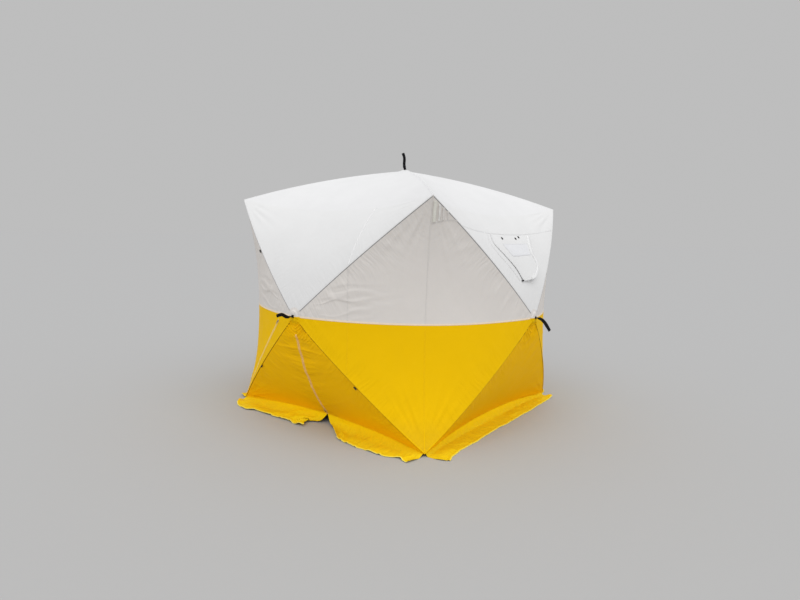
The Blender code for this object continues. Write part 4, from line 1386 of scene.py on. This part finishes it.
def zip_slider(name, origin, way, out):
    """The plate of a slider, its bridge and its hanging pull tab."""

    def at(run, lift):
        return origin + column(run) * way + column(lift) * out

    plate_run, plate_width = np.transpose(PLATE_OUTLINE)
    tab_run, tab_width = np.transpose(TAB_OUTLINE)
    turn = np.linspace(0.1, math.pi - 0.1, 13)
    bridge = at(BRIDGE_START - BRIDGE_REACH * np.cos(turn), BRIDGE_LIFT + BRIDGE_RISE * np.sin(turn))
    tab = at(TAB_START + tab_run, TAB_LIFT + TAB_RISE * tab_run)
    meshes = {
        "plate": ribbon_mesh("plate", at(plate_run, PLATE_LIFT), out, plate_width, PLATE_THICKNESS),
        "bridge": tube_mesh("bridge", bridge, BRIDGE_RADIUS, np.cross(way, out)),
        "tab": ribbon_mesh("tab", tab, out, tab_width, TAB_THICKNESS),
    }
    return [put(f"{name}_{label}", mesh, "slider") for label, mesh in meshes.items()]


def second_zip():
    """The closed cream zip beside the lower left pole of the front wall."""
    share = np.linspace(SECOND_ZIP_FOOT_SHARE, SECOND_ZIP_TOP_SHARE, ZIP_STEPS)
    distance = np.linspace(SECOND_ZIP_FOOT_OFFSET, SECOND_ZIP_TOP_OFFSET, ZIP_STEPS)
    scale = row_length(FRONT, "left", share) * slant(FRONT, "left")
    out = cover_normal(FRONT, "left", share, distance / scale)
    middle = surface(FRONT, "left", share, distance / scale, TEETH_LIFT)
    halves = (("inner", -1), ("outer", 1))
    for name, sign in halves:
        points = surface(FRONT, "left", share, (distance + sign * SECOND_TAPE_OFFSET) / scale, SEAM_LIFT)
        tape = ribbon_mesh("tape", points, out, SECOND_TAPE_WIDTH, ZIP_TAPE_THICKNESS, pull(share))
        follow_hub(put(f"front_second_zip_{name}_tape", tape, "cream_tape"), FRONT)
    for name, sign in halves:
        teeth = teeth_mesh(middle, out, sign, pull(share))
        follow_hub(put(f"front_second_zip_{name}_teeth", teeth, "cream_teeth"), FRONT)
    way = unit(middle[-8] - middle[-1])
    for item in zip_slider("front_second_zip_slider", middle[-1], way, upright_to(out[-1], way)):
        follow_hub(item, FRONT, float(pull(SECOND_ZIP_TOP_SHARE)))


def door_slider():
    """The door zip's slider, at the foot of the zip."""
    share = np.array((SLIDER_REST_SHARE, SLIDER_REST_SHARE + 0.05))
    foot, higher = cover(FRONT, "bottom", share, np.array((0.5, 0.5)))
    way = unit(higher - foot)
    out = upright_to(cover_normal(FRONT, "bottom", SLIDER_REST_SHARE, 0.5), way)
    items = zip_slider("front_zip_slider", foot + out * SLIDER_LIFT, way, out)
    for item in items:
        ride_on(item, "front_zip_slider")
    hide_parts("front_zip_slider")


# Vent: a hood over a net window on the right wall, with its hem, label place, snaps and toggle

VENT_TOP_SHARE = 0.235
VENT_FOOT_SHARE = 0.678
# The hood's left and right edges: shares of the way down it, and along the wall's side
VENT_LEFT = ((0, 0.12, 0.25, 0.5, 0.75, 1), (0.303, 0.262, 0.242, 0.292, 0.348, 0.372))
VENT_RIGHT = ((0, 0.25, 0.45, 0.62, 0.8, 0.92, 1), (0.722, 0.703, 0.700, 0.737, 0.760, 0.750, 0.725))
VENT_LIFT = 0.0006
VENT_BULGE = 0.030
VENT_THICKNESS = 0.0016
VENT_ROUND_SHARE = 0.17
VENT_BULGE_EDGE_SHARE = 0.35
VENT_BULGE_LEFT_SHARE = 0.32
VENT_FOLD = 0.0024
VENT_CURL = 0.007
VENT_SIDE_RISE = 0.004
VENT_PROBE = 0.008
VENT_STEPS = 44
VENT_HEM_WIDTH = 0.014
VENT_HEM_THICKNESS = 0.0012
VENT_ROLL_START = 40
VENT_ROLL_WIDTH = 0.020
VENT_ROLL_THICKNESS = 0.0050
SNAP_PLACES = ((0.082, 0.28), (0.082, 0.64), (0.046, 0.73))
# A snap's outline: height and radius
SNAP_PROFILE = (
    (0.0, 0.0006), (0.0002, 0.0104), (0.0014, 0.0112), (0.0028, 0.0104),
    (0.0034, 0.0064), (0.0028, 0.0050), (0.0026, 0.0005),
)
LABEL_DOWN = (0.21, 0.49)
LABEL_ACROSS = (0.24, 0.92)
LABEL_THICKNESS = 0.0005
# How far a layer lies over the one it is sewn to
LAYER_LIFT = 0.0008
# The hood's flat cut: width and height
VENT_CUT = (0.62, 0.40)
NET_THICKNESS = 0.0003
# Courses of the tape round the window, beside the hood
VENT_FRAME = {
    "left": ((0.240, 0.262), (0.340, 0.196), (0.450, 0.208), (0.560, 0.262), (0.665, 0.305)),
    "right": ((0.240, 0.742), (0.340, 0.735), (0.450, 0.742), (0.560, 0.795)),
}


def rounded(outline, place, spread, count):
    """Values of a line of straight runs, with its corners rounded off."""
    return np.mean([np.interp(place + offset * spread, *outline) for offset in np.linspace(-1, 1, count)], 0)


def vent_place(down, across):
    """Shares on the right wall's top triangle, under places of the hood."""
    height = VENT_FOOT_SHARE - VENT_TOP_SHARE
    share = VENT_TOP_SHARE + height * (down - VENT_ROUND_SHARE * down**3 * np.abs(across) ** 4)
    left, right = (rounded(edge, down, 0.06, 7) for edge in (VENT_LEFT, VENT_RIGHT))
    return share, left + (right - left) * across


def vent_point(down, across):
    """Points of the hood: down from its sewn edge at 0, across from its left edge at 0."""
    share, along = vent_place(down, across)
    bulge = VENT_BULGE_EDGE_SHARE + (1 - VENT_BULGE_EDGE_SHARE) * arch(across)
    bulge = bulge * (VENT_BULGE_LEFT_SHARE + (1 - VENT_BULGE_LEFT_SHARE) * across)
    lift = VENT_LIFT + VENT_BULGE * down * bulge + VENT_THICKNESS
    lift = lift + VENT_FOLD * noise(together(across * 5, down * 2.5, 0), 8.0) * down
    lift = lift + VENT_CURL * eased((down - 0.75) / 0.25) * across * (1.2 - across)
    lift = lift + VENT_SIDE_RISE * down * eased((across - 0.86) / 0.14)
    return surface(RIGHT, "top", share, along) + cover_normal(RIGHT, "top", share, along) * column(lift)


def vent_out(down, across):
    """The way out from the hood."""
    down, across = np.clip(down, 0.01, 0.99), np.clip(across, 0.01, 0.99)
    low = vent_point(down + VENT_PROBE, across) - vent_point(down - VENT_PROBE, across)
    on = vent_point(down, across + VENT_PROBE) - vent_point(down, across - VENT_PROBE)
    return towards(unit(np.cross(on, low)), RIGHT.normal)


def vent_hem_line():
    """A line just inside the hood's free edges, with its ways out."""
    reach = np.linspace(0.02, 1, 26)
    down = np.concatenate([reach * 0.975, np.full(30, 0.975), reach[::-1] * 0.975])
    across = np.concatenate([np.full(26, 0.02), np.linspace(0.02, 0.98, 32)[1:-1], np.full(26, 0.98)])
    down, across = smoothed(down, 6), smoothed(across, 6)
    return vent_point(down, across), vent_out(down, across)


def vent_label():
    """The blank label place on the hood."""
    down, across = meshgrid(np.linspace(*LABEL_DOWN, 20), np.linspace(*LABEL_ACROSS, 24))
    points = vent_point(down, across) + vent_out(down, across) * LAYER_LIFT
    side = 2 * (down - LABEL_DOWN[0]) / (LABEL_DOWN[1] - LABEL_DOWN[0]) - 1
    maps = {"Strip": together(across * VENT_CUT[0], side)}
    return cloth("right_vent_label_place", points, maps, None, RIGHT.normal, "label",
                 thickness=LABEL_THICKNESS, offset=1.0)


def vent_snaps():
    """The snap buttons on the hood, just below its sewn edge."""
    rises, radii = np.transpose(SNAP_PROFILE)
    for number, (down, across) in enumerate(SNAP_PLACES, 1):
        place = np.array([down]), np.array([across])
        line = vent_point(*place) + column(rises) * vent_out(*place)
        snap = put(f"right_vent_snap_{number}", tube_mesh("snap", line, radii, RIGHT.across, 20), "snap")
        ride_on(snap, "right_vent_flap")


def vent_hood():
    """The hood with its hem, its label place and a roll on half of its foot and its right edge. The roll is
    painted brighter than the hood: a painted highlight.
    """
    down, across = meshgrid(np.linspace(0, 1, VENT_STEPS), np.linspace(0, 1, VENT_STEPS))
    width, height = VENT_CUT
    maps = two_folds((across * width, (1 - down) * height), (down * height, across * width))
    hood = cloth("right_vent_hood", vent_point(down, across), maps, None, RIGHT.normal, "top")
    line, out = vent_hem_line()
    hem = put("right_vent_hem", ribbon_mesh("hem", line, out, VENT_HEM_WIDTH, VENT_HEM_THICKNESS), "top_tape")
    line, out = line[VENT_ROLL_START:], out[VENT_ROLL_START:]
    roll = ribbon_mesh("roll", line + out * LAYER_LIFT, out, VENT_ROLL_WIDTH, VENT_ROLL_THICKNESS)
    # The roll is painted brighter than the hood: a painted highlight
    roll = put("right_vent_roll", roll, "width_tape")
    label = vent_label()
    for item in (hood, hem, roll, label):
        ride_on(item, "right_vent_flap")
    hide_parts("right_vent_flap")


def vent_window():
    """The net and its frame under the hood, sewn to the right wall."""
    down, across = meshgrid(np.linspace(0.06, 0.84, 24), np.linspace(0.12, 0.88, 28))
    place = vent_place(down, across)
    points = surface(RIGHT, "top", *place, 0.0004)
    maps = {"Strip": together(across * 0.6, down * 0.4)}
    net = cloth("right_vent_net", points, maps, pull_at(RIGHT, "top", *place), RIGHT.normal, "net",
                thickness=NET_THICKNESS, offset=1.0)
    follow_hub(net, RIGHT)
    for name, places in VENT_FRAME.items():
        seam(f"right_vent_frame_{name}", RIGHT, "top", course(*places), 0.013, "top_tape")


# Toggles and ties

# A toggle's outline: distance along it and radius
TOGGLE_PROFILE = (
    (-0.0135, 0.0008), (-0.0132, 0.0034), (-0.0120, 0.0050), (-0.0036, 0.0054), (-0.0022, 0.0038),
    (0.0022, 0.0038), (0.0036, 0.0054), (0.0120, 0.0050), (0.0132, 0.0034), (0.0135, 0.0008),
)
TOGGLE_LIFT = 0.0070
CORD_REACH = 0.0051
CORD_DEPTH = 0.0065
CORD_RADIUS = 0.0011
TOGGLE_PATCH = (0.011, 0.014, 0.0009)
TOGGLE_SHARES = {(-1, 1): 0.469, (-1, -1): 0.452, (1, -1): 0.473}
TOGGLE_OFFSET = 0.014
VENT_TOGGLE_PLACE = (0.672, 0.356)
TIE_SHARE = 0.5
TIE_WIDTH = 0.018
TIE_THICKNESS = 0.0010
TIE_DEPTH = 0.0016
TIE_HALF_GAP = 0.0012
TIE_SEARCH = 0.13
ROD_RADIUS = 0.005


def toggle(name, place, along, out, face, amount, patch_paint):
    """A barrel toggle with a groove, held to the cloth by a sewn loop of cord."""
    centre, across = place + out * TOGGLE_LIFT, np.cross(along, out)
    offsets, radii = np.transpose(TOGGLE_PROFILE)
    barrel = put(name, tube_mesh(name, centre + column(offsets) * along, radii, out, 16, 55), "toggle")
    ring = centre + around(np.linspace(-0.25, math.pi + 0.25, 17), across, out) * CORD_REACH
    line = np.concatenate([ring[:1] - out * CORD_DEPTH, ring, ring[-1:] - out * CORD_DEPTH])
    loop = put(f"{name}_loop", tube_mesh("loop", line, CORD_RADIUS, along, 8), "toggle")
    reach, width, thickness = TOGGLE_PATCH
    line = place + column(np.linspace(-reach, reach, 7)) * across + out * 0.0004
    patch = put(f"{name}_patch", ribbon_mesh("patch", line, out, width, thickness), patch_paint)
    for item, slot in ((barrel, "hub_plastic"), (loop, "webbing"), (patch, "webbing")):
        follow_hub(item, face, amount)


def toggles():
    """Toggles at the middle of three poles of the front, left and back walls, and at the vent's tip."""
    for face in (FRONT, LEFT, BACK):
        for signs, share in TOGGLE_SHARES.items():
            high = signs[1] > 0
            side, patch_paint = (corner_sides(signs)[1], "side_tape") if high else ("bottom", "yellow_tape")
            shares = np.array((share, share + 0.02))
            place, ahead = beside_pole(face, side, signs, shares, TOGGLE_OFFSET, LAYER_LIFT)
            along, name = unit(ahead - place), f"{pole_name(face, signs)}_toggle"
            toggle(name, place, along, upright_to(face.normal, along), face, float(pull(share)), patch_paint)
    spot = [np.array([value]) for value in VENT_TOGGLE_PLACE]
    place, out = surface(RIGHT, "top", *spot)[0], cover_normal(RIGHT, "top", *spot)[0]
    amount = float(pull_at(RIGHT, "top", *spot)[0])
    toggle("right_vent_toggle", place, upright_to(RIGHT.across, out), out, RIGHT, amount, "top_tape")


def pole_tie(face, signs):
    """The sewn loop inside the cover that holds it to the middle of a pole."""
    pole = pole_name(face, signs)
    points = np.array([vertex.co for vertex in frame["nodes"][pole].data.vertices])
    before, middle, after = pole_line(face, signs, np.array((TIE_SHARE - 0.02, TIE_SHARE, TIE_SHARE + 0.02)))
    along = unit(after - before)
    points = points[np.abs((points - middle) @ along) < TIE_SEARCH]
    centre = points[np.argsort(np.abs((points - middle) @ along))[:12]].mean(0)
    centre = centre - along * ((centre - middle) @ along)
    out = unit(middle - centre)
    across = np.cross(along, out)
    facing = around(np.linspace(math.pi * 0.12, math.pi * 1.88, 23), out, across)
    ring = centre + facing * (ROD_RADIUS + TIE_THICKNESS)
    sewn, gap = middle - out * TIE_DEPTH, across * TIE_HALF_GAP
    path = np.concatenate([[sewn + gap], ring, [sewn - gap]])
    facing = np.concatenate([[across], facing, [-across]])
    item = put(f"{pole}_tie", ribbon_mesh("tie", path, facing, TIE_WIDTH, TIE_THICKNESS), "pocket")
    ride_on(item, pole)


# Reinforcement with pleats under the top corner, on the right wall

PLEAT_FOOT_ALONG = 0.893
PLEAT_HEAD_ALONG = 0.9925
PLEAT_REACH_SHARE = 0.185
PLEAT_SHARES = (0.026, 0.052, 0.080, 0.116)
PLEAT_WIDTH_SHARE = 0.0085
PLEAT_HEIGHT = 0.0030
# Folded bands sewn over the patch: place, width and height
PLEAT_BANDS = (
    (0.020, 0.022, 0.0085, "pleat"), (0.053, 0.013, 0.0095, "pale_tape"),
    (0.083, 0.015, 0.0070, "side_tape"), (0.117, 0.012, 0.0055, "side_tape"),
)


def pleat_foot(share):
    """Where the patch starts along the wall's side, at shares of the way to the hub."""
    return 1 - (1 - PLEAT_FOOT_ALONG) * (1 - share / PLEAT_REACH_SHARE)


def pleated_patch():
    share, fraction = meshgrid(np.linspace(0.0015, PLEAT_REACH_SHARE, 90), np.linspace(0, 1, 30))
    foot = pleat_foot(share)
    along = foot + (PLEAT_HEAD_ALONG - foot) * fraction
    ridge = sum(bell(share - place, PLEAT_WIDTH_SHARE) for place in PLEAT_SHARES)
    points = surface(RIGHT, "left", share, along, 0.0006 + PLEAT_HEIGHT * ridge * eased((1 - along) / 0.02))
    run, height = share * HALF_WIDTH, 2 * RIGHT.half_up
    maps = two_folds((run, (along - foot) * height), (run, (1 - along) * height))
    item = cloth("right_pleated_patch", points, maps, pull(share), RIGHT.normal, "patch")
    follow_hub(item, RIGHT)
    way = course((0.004, PLEAT_FOOT_ALONG + 0.002), (PLEAT_REACH_SHARE - 0.01, 0.994))
    seam("right_patch_seam", RIGHT, "left", way, CORNER_SEAM_WIDTH, "side_tape", 0.0010)
    for number, (place, width, height, paint) in enumerate(PLEAT_BANDS, 1):
        foot = pleat_foot(place) + 0.004
        way = course((place * 0.94 + 0.001, 1 - 0.14 * (1 - foot)), (place, foot), steps=24)
        seam(f"right_patch_pleat_{number}", RIGHT, "left", way, width, paint, LAYER_LIFT, height)


# Corner pockets inside the cover

POCKET_REACH = 0.085
POCKET_DEPTH = 0.0030
POCKET_FLARE = 0.0016
POCKET_THICKNESS = 0.0010
POCKET_GROUND = 0.004
POCKET_ROWS = 16
POCKET_COLUMNS = 12
POCKET_NAMES = {(-1, -1): "front_left", (1, -1): "front_right", (1, 1): "back_right", (-1, 1): "back_left"}


def pocket_wing(face, side, signs, reach, turn_share):
    """Points under one triangle's corner, in turns from its side at 0 to its pole at 1."""
    length, height = row_length(face, side, 0), panel_height(face, side)
    turn = turn_share * math.atan2(height, length / 2)
    share = reach * np.sin(turn) / height
    along = (reach * np.cos(turn) / length - share / 2) / (1 - share)
    if signs == side_corners(side)[1]:
        along = 1 - along
    along = np.clip(along, 0, 1)
    return cover(face, side, share, along), cover_normal(face, side, share, along), share


def pocket(face, signs, name):
    """The reinforcing sleeve under a corner of one face, which holds the tip of its pole."""
    sides = corner_sides(signs)
    reach, turn = meshgrid(np.linspace(0.004, POCKET_REACH, POCKET_ROWS), np.linspace(0, 1, POCKET_COLUMNS))
    first = pocket_wing(face, sides[0], signs, reach, turn)
    second = pocket_wing(face, sides[1], signs, reach, turn[:, ::-1])
    points, normals, share = (np.concatenate([a, b[:, 1:]], 1) for a, b in zip(first, second))
    normals[:, POCKET_COLUMNS - 1] = unit(first[1][:, -1] + second[1][:, 0])
    for _ in range(3):
        normals[:, 1:-1] = unit(normals[:, :-2] + 2 * normals[:, 1:-1] + normals[:, 2:])
    flare = POCKET_FLARE * eased((reach[:, :1] - 0.070) / 0.015)
    points = points - normals * column(POCKET_DEPTH + flare)
    if FOOT_HEIGHT > face.corner(signs)[2] - 0.001:
        points[..., 2] = np.maximum(points[..., 2], POCKET_GROUND)
    run, span = meshgrid(reach[:, 0], np.linspace(-1, 1, points.shape[1]))
    maps = {"Strip": together(span * POCKET_REACH, 2 * run / POCKET_REACH - 1)}
    inward = -face.normal
    item = cloth(name, points, maps, pull(share), inward, "pocket", thickness=POCKET_THICKNESS, offset=1.0)
    follow_hub(item, face)
    return item


def pockets():
    for face in FACES:
        for signs in CORNER_SIGNS:
            corner = face.corner(signs)
            place = POCKET_NAMES[int(np.sign(corner[0])), int(np.sign(corner[1]))]
            level = "top" if corner[2] > 1 else "bottom"
            item = pocket(face, signs, f"{face.name}_{level}_pocket_{place}")
            if face is ROOF:
                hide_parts(f"top_pocket_{place}")


# Ground skirt

SKIRT_FEET = {"front": 0.030, "right": -0.032, "back": 0.020, "left": 0.020}
SKIRT_SPREAD = 0.016
SKIRT_FOLD_HEIGHT = 0.019
SKIRT_EDGE_WAVES = {"front": 0.0070, "right": 0.0040, "back": 0.0060, "left": 0.0060}
# The share of the folds' height that is gone at the free edge
SKIRT_EDGE_CALM = {"front": 0.5, "right": 0.75, "back": 0.6, "left": 0.6}
SKIRT_FOLD_SHARES = {"front": 1.0, "right": 0.55, "back": 0.8, "left": 0.8}
SKIRT_EDGE_ROLL = 0.0055
SKIRT_END_SHARE = 0.0075
SKIRT_END_DRAW = 0.024
SKIRT_GROUND = 0.0012
SKIRT_SEEDS = {"front": 1.0, "right": 4.0, "back": 7.0, "left": 11.0}
# Points along a whole stretch of skirt, along one of the front wall's two, and out from the wall
SKIRT_COLUMNS = 230
HALF_SKIRT_COLUMNS = 130
SKIRT_ROWS = 30
# The skirt's width out from the wall, for its map and for its folds
SKIRT_MAP_WIDTH = 0.165
SKIRT_WIDTH = 0.150
SKIRT_EDGE_WIDTH = 0.006
SKIRT_EDGE_THICKNESS = 0.0026
# How far the free edge reaches out from the wall's plane, at shares of the way along each wall
SKIRT_REACHES = {
    "front": (
        (0, 0.034, 0.07, 0.13, 0.17, 0.28, 0.365, 0.42, 0.46, 0.57, 0.65, 0.76, 0.89, 0.94, 0.985, 1),
        (
            0.118, 0.132, 0.158, 0.178, 0.150, 0.150, 0.134, 0.150,
            0.142, 0.125, 0.146, 0.174, 0.168, 0.122, 0.158, 0.150,
        ),
    ),
    "right": (
        (0, 0.02, 0.06, 0.14, 0.24, 0.385, 0.50, 0.62, 0.78, 0.91, 0.97, 1),
        (0.168, 0.172, 0.138, 0.120, 0.124, 0.112, 0.118, 0.116, 0.112, 0.106, 0.100, 0.118),
    ),
    "back": (
        (0, 0.1, 0.22, 0.37, 0.5, 0.61, 0.8, 0.9, 1),
        (0.15, 0.17, 0.145, 0.155, 0.138, 0.16, 0.142, 0.168, 0.15),
    ),
    "left": (
        (0, 0.12, 0.25, 0.4, 0.55, 0.7, 0.83, 0.93, 1),
        (0.168, 0.146, 0.158, 0.137, 0.164, 0.145, 0.16, 0.13, 0.09),
    ),
}
# Where the free edge curls up: place and spread along the wall, and height
SKIRT_CURLS = {
    "front": ((0.0, 0.028, 0.026), (0.44, 0.02, 0.012), (1.0, 0.02, 0.010)),
    "right": ((0.0, 0.02, 0.008), (1.0, 0.022, 0.034)),
    "left": ((1.0, 0.03, 0.012),),
}
SLIT_FOLD_TURN = 0.19
SLIT_FOLD_HEIGHT = 0.046
SLIT_FOLD_REACH = 0.42
# The door zip's slit in the left stretch: shares of the way out, and along the wall
LEFT_CUT = ((0.0, 0.22, 0.30, 0.38, 0.60, 0.82, 1.0), (0.4985, 0.489, 0.482, 0.452, 0.444, 0.454, 0.470))
GUSSET_LEG = 0.100
GUSSET_THICKNESS = 0.0012


def slit_folds(along, out):
    """Folds of the skirt that run out from the top of the door's slit."""
    aside, down = (along - 0.5) * 2 * HALF_WIDTH, out * SKIRT_WIDTH
    reach = np.hypot(aside, down)
    turn = np.arctan2(down, np.abs(aside)) * np.sign(aside)
    crest = crests(together(turn / SLIT_FOLD_TURN, reach / 0.5, 0), 17.0, 0.1)
    near = bell(reach, SLIT_FOLD_REACH) * eased((reach - 0.06) / 0.14) * eased(out / 0.15)
    return SLIT_FOLD_HEIGHT * crest * near


def skirt_folds(face, along, out, outward):
    """Height of the skirt's folds over the ground."""
    seed, run = SKIRT_SEEDS[face.name], along * 2 * HALF_WIDTH
    bent = run + 0.35 * outward * np.sin(run * 3.1 + seed)
    long_fold = np.maximum(0, noise(together(bent / 0.15, out * 1.3 + bent * 1.1, 0), seed + 3))
    cross_fold = crests(together(bent / 0.085, out, 0), seed + 4, 0.35)
    lip = np.maximum(0, noise(together(run / 0.10, 0, 0), seed + 6)) * eased((out - 0.8) / 0.2)
    height = SKIRT_FOLD_HEIGHT * (cross_fold * (0.3 + 0.9 * out) + 0.7 * long_fold + 0.5 * lip)
    height = height * SKIRT_FOLD_SHARES[face.name]
    if face is FRONT:
        height = height + slit_folds(along, out)
    height = height * (1 - SKIRT_EDGE_CALM[face.name] * eased((out - 0.6) / 0.4))
    height = height + SKIRT_EDGE_ROLL * np.sin(math.pi * eased((out - 0.86) / 0.14))
    for place, spread, rise in SKIRT_CURLS.get(face.name, ()):
        height = height + rise * bell(along - place, spread) * eased((out - 0.25) / 0.6)
    return height


def skirt_points(face, along, out):
    """Points of the skirt from the wall's hem at 0 to its free edge at 1."""
    hem = cover(face, "bottom", np.zeros_like(along), along)
    hem_out = (hem - face.centre) @ face.normal
    seed, run = SKIRT_SEEDS[face.name], along * 2 * HALF_WIDTH
    wave = noise(together(run / 0.12, out * 0.7, 0), seed)
    wave = wave + 0.5 * ridges(together(run / 0.06, out * 0.9, 0), seed + 2)
    reach = np.interp(along, *SKIRT_REACHES[face.name]) + SKIRT_EDGE_WAVES[face.name] * wave * out
    outward = hem_out + (reach - hem_out) * out
    foot = np.maximum(SKIRT_FEET[face.name] - hem_out, 0) + SKIRT_SPREAD
    settle = 1 - (1 - np.clip((outward - hem_out) / foot, 0, 1)) ** 1.8
    height = SKIRT_GROUND + skirt_folds(face, along, out, outward)
    points = hem + column(outward - hem_out) * face.normal
    points[..., 2] = hem[..., 2] * (1 - settle) + height * settle
    return points


def left_end(out):
    return SKIRT_END_SHARE + SKIRT_END_DRAW * out**3


def right_end(out):
    return 1 - SKIRT_END_SHARE - SKIRT_END_DRAW * out**3 * 0.4


def left_cut(out):
    """The door zip's slit in the left stretch of skirt, which draws back and flares at its edge."""
    return rounded(LEFT_CUT, out, 0.06 * arch(out), 5)


def right_cut(out):
    return 0.5015 + 0.148 * out


def skirt_piece(name, face, start, end, body):
    """One stretch of skirt, between two ends given as functions of the way out."""
    fixed = body == "base"
    columns = SKIRT_COLUMNS if fixed else HALF_SKIRT_COLUMNS
    fraction, out = meshgrid(np.linspace(0, 1, columns), np.linspace(0, 1, SKIRT_ROWS))
    first, last = start(out), end(out)
    along = first + (last - first) * fraction
    points = skirt_points(face, along, out)
    run = along * 2 * HALF_WIDTH
    maps = two_folds((run, out * SKIRT_MAP_WIDTH), (run, (1 - out) * SKIRT_MAP_WIDTH))
    swing = swing_at(0, along, SKIRT_BEND)
    pulls = (None, None) if fixed else (swing, swing[:, -1])
    item = cloth(name, points, maps, pulls[0], UP + 0.3 * face.normal, "skirt", offset=0.0)
    # The free edge's strip is painted paler than the skirt: a painted highlight along the real rolled edge
    line = points[:, -1] + UP * LAYER_LIFT
    edge = ribbon_mesh("edge", line, UP, SKIRT_EDGE_WIDTH, SKIRT_EDGE_THICKNESS, pulls[1])
    edge = put(f"{name}_edge", edge, "skirt_rim_highlight_tape")
    for piece in (item, edge):
        if fixed:
            ride_on(piece, body)
        else:
            follow_door(piece, body)
    return item


def gusset(signs):
    """The flat web across a bottom corner, sewn to both stretches of skirt."""
    x, y = signs
    corner = np.array((x * HALF_WIDTH, y * HALF_WIDTH, FOOT_HEIGHT - 0.0004)) - np.array((x, y, 0)) * 0.0032
    leg, fraction = meshgrid(np.linspace(0.002, GUSSET_LEG, 14), np.linspace(0, 1, 14))
    way = column(1 - fraction) * np.array((-x, 0, 0)) + column(fraction) * np.array((0, -y, 0))
    points = corner + way * column(leg)
    points[..., 2] -= 0.0035 * leg / GUSSET_LEG * arch(fraction) + 0.0008 * noise(points / 0.02, 5.0)
    turn = fraction * GUSSET_LEG
    maps = two_folds((leg, turn), (turn, leg))
    item = cloth(f"gusset_{POCKET_NAMES[signs]}", points, maps, None, UP, "skirt", thickness=GUSSET_THICKNESS)
    ride_on(item, "base")


def skirts():
    skirt_piece("front_left_skirt", FRONT, left_end, left_cut, "front_door_left")
    skirt_piece("front_right_skirt", FRONT, right_cut, right_end, "front_door_right")
    for face in (RIGHT, BACK, LEFT):
        item = skirt_piece(f"{face.name}_skirt", face, left_end, right_end, "base")
        if face is RIGHT:
            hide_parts("ground_skirt")
    for signs in CORNER_SIGNS:
        gusset(signs)


def paint_frame():
    """Finish the hubs and poles of the CAD model, which stay."""
    for name, item in frame["nodes"].items():
        kind = "hub" if name.endswith("_hub") else "pole" if "_pole_" in name else None
        if kind:
            item.data.materials.clear()
            item.data.materials.append(PAINTS[kind])


# Floor, light and camera

CAMERA_FOCAL_PIXELS = 545.5
IMAGE_WIDTH_PIXELS = 800
SENSOR_WIDTH = 36.0
CAMERA_PLACE = (2.8923, -3.7872, 1.4581)
CAMERA_YAW = -0.6554
CAMERA_PITCH = -0.1221
CAMERA_ROLL = 0.0258
FLOOR_SIZE = 240.0
FLOOR_GREY = 0.45
BACKGROUND = 0.513
SKY_COLOUR = (0.985, 0.99, 1.0, 1)
SKY_STRENGTH = 0.84
SUN_COLOUR = (1.0, 0.99, 0.975)
SUN_STRENGTH = 0.36
SUN_SPREAD = math.radians(80)
SUN_WAY = (0.55, -0.50, 1.25)


def camera():
    data = bpy.data.cameras.new("camera")
    data.sensor_width = SENSOR_WIDTH
    data.lens = CAMERA_FOCAL_PIXELS / IMAGE_WIDTH_PIXELS * SENSOR_WIDTH
    level = math.cos(CAMERA_PITCH)
    ahead = Vector((math.sin(CAMERA_YAW) * level, math.cos(CAMERA_YAW) * level, math.sin(CAMERA_PITCH)))
    right = Vector((math.cos(CAMERA_YAW), -math.sin(CAMERA_YAW), 0))
    turn = Matrix((right, right.cross(ahead), -ahead)).transposed() @ Matrix.Rotation(CAMERA_ROLL, 3, "Z")
    item = put("camera", data)
    item.matrix_world = Matrix.Translation(CAMERA_PLACE) @ turn.to_4x4()
    bpy.context.scene.camera = item


def world():
    """An even sky, which the camera and reflections see as a plain pale background."""
    made = bpy.data.worlds.new("sky")
    made.use_nodes = True
    tree = made.node_tree
    light = tree.nodes["Background"]
    fill(light, {"Color": SKY_COLOUR, "Strength": SKY_STRENGTH})
    path = node(tree, "ShaderNodeLightPath").outputs
    seen = maths("MAXIMUM", path["Is Camera Ray"], path["Is Glossy Ray"])
    seen = maths("MAXIMUM", seen, path["Is Transmission Ray"])
    flat = node(tree, "ShaderNodeBackground", {"Color": (BACKGROUND,) * 3 + (1,), "Strength": 1.0})
    mix = node(tree, "ShaderNodeMixShader", {0: seen, 1: light.outputs[0], 2: flat.outputs[0]})
    fill(tree.nodes["World Output"], {"Surface": mix.outputs[0]})
    bpy.context.scene.world = made


def floor():
    ends = np.array((-0.5, 0.5)) * FLOOR_SIZE
    item = put("floor", grid_mesh("floor", together(*meshgrid(ends, ends), 0), outward=UP))
    material, _, shader = blank("floor")
    fill(shader, {"Base Color": (FLOOR_GREY,) * 3 + (1,), "Roughness": 1.0, "Specular IOR Level": 0.0})
    item.data.materials.append(material)


def sun():
    """A wide soft lamp from over the camera's right shoulder."""
    data = bpy.data.lights.new("soft_sun", "SUN")
    data.energy = SUN_STRENGTH * math.pi
    data.angle = SUN_SPREAD
    data.color = SUN_COLOUR
    put("soft_sun", data).rotation_euler = Vector(SUN_WAY).to_track_quat("Z", "Y").to_euler()


for face in FACES:
    for side in SIDES:
        if face is not FRONT or side != "bottom":
            cover_panel(face, side)
    hub_patch(face)
    pull_strap(face)
    for signs in CORNER_SIGNS:
        pole_tie(face, signs)
door_head()
door_flap("left", 0, 0.5)
door_flap("right", 0.5, 1)
seams()
door_zip()
zip_stop()
head_facing()
door_slider()
second_zip()
vent_hood()
vent_snaps()
vent_window()
toggles()
pleated_patch()
pockets()
skirts()
paint_frame()
world()
floor()
camera()
sun()
bpy.context.scene.view_settings.view_transform = "Standard"
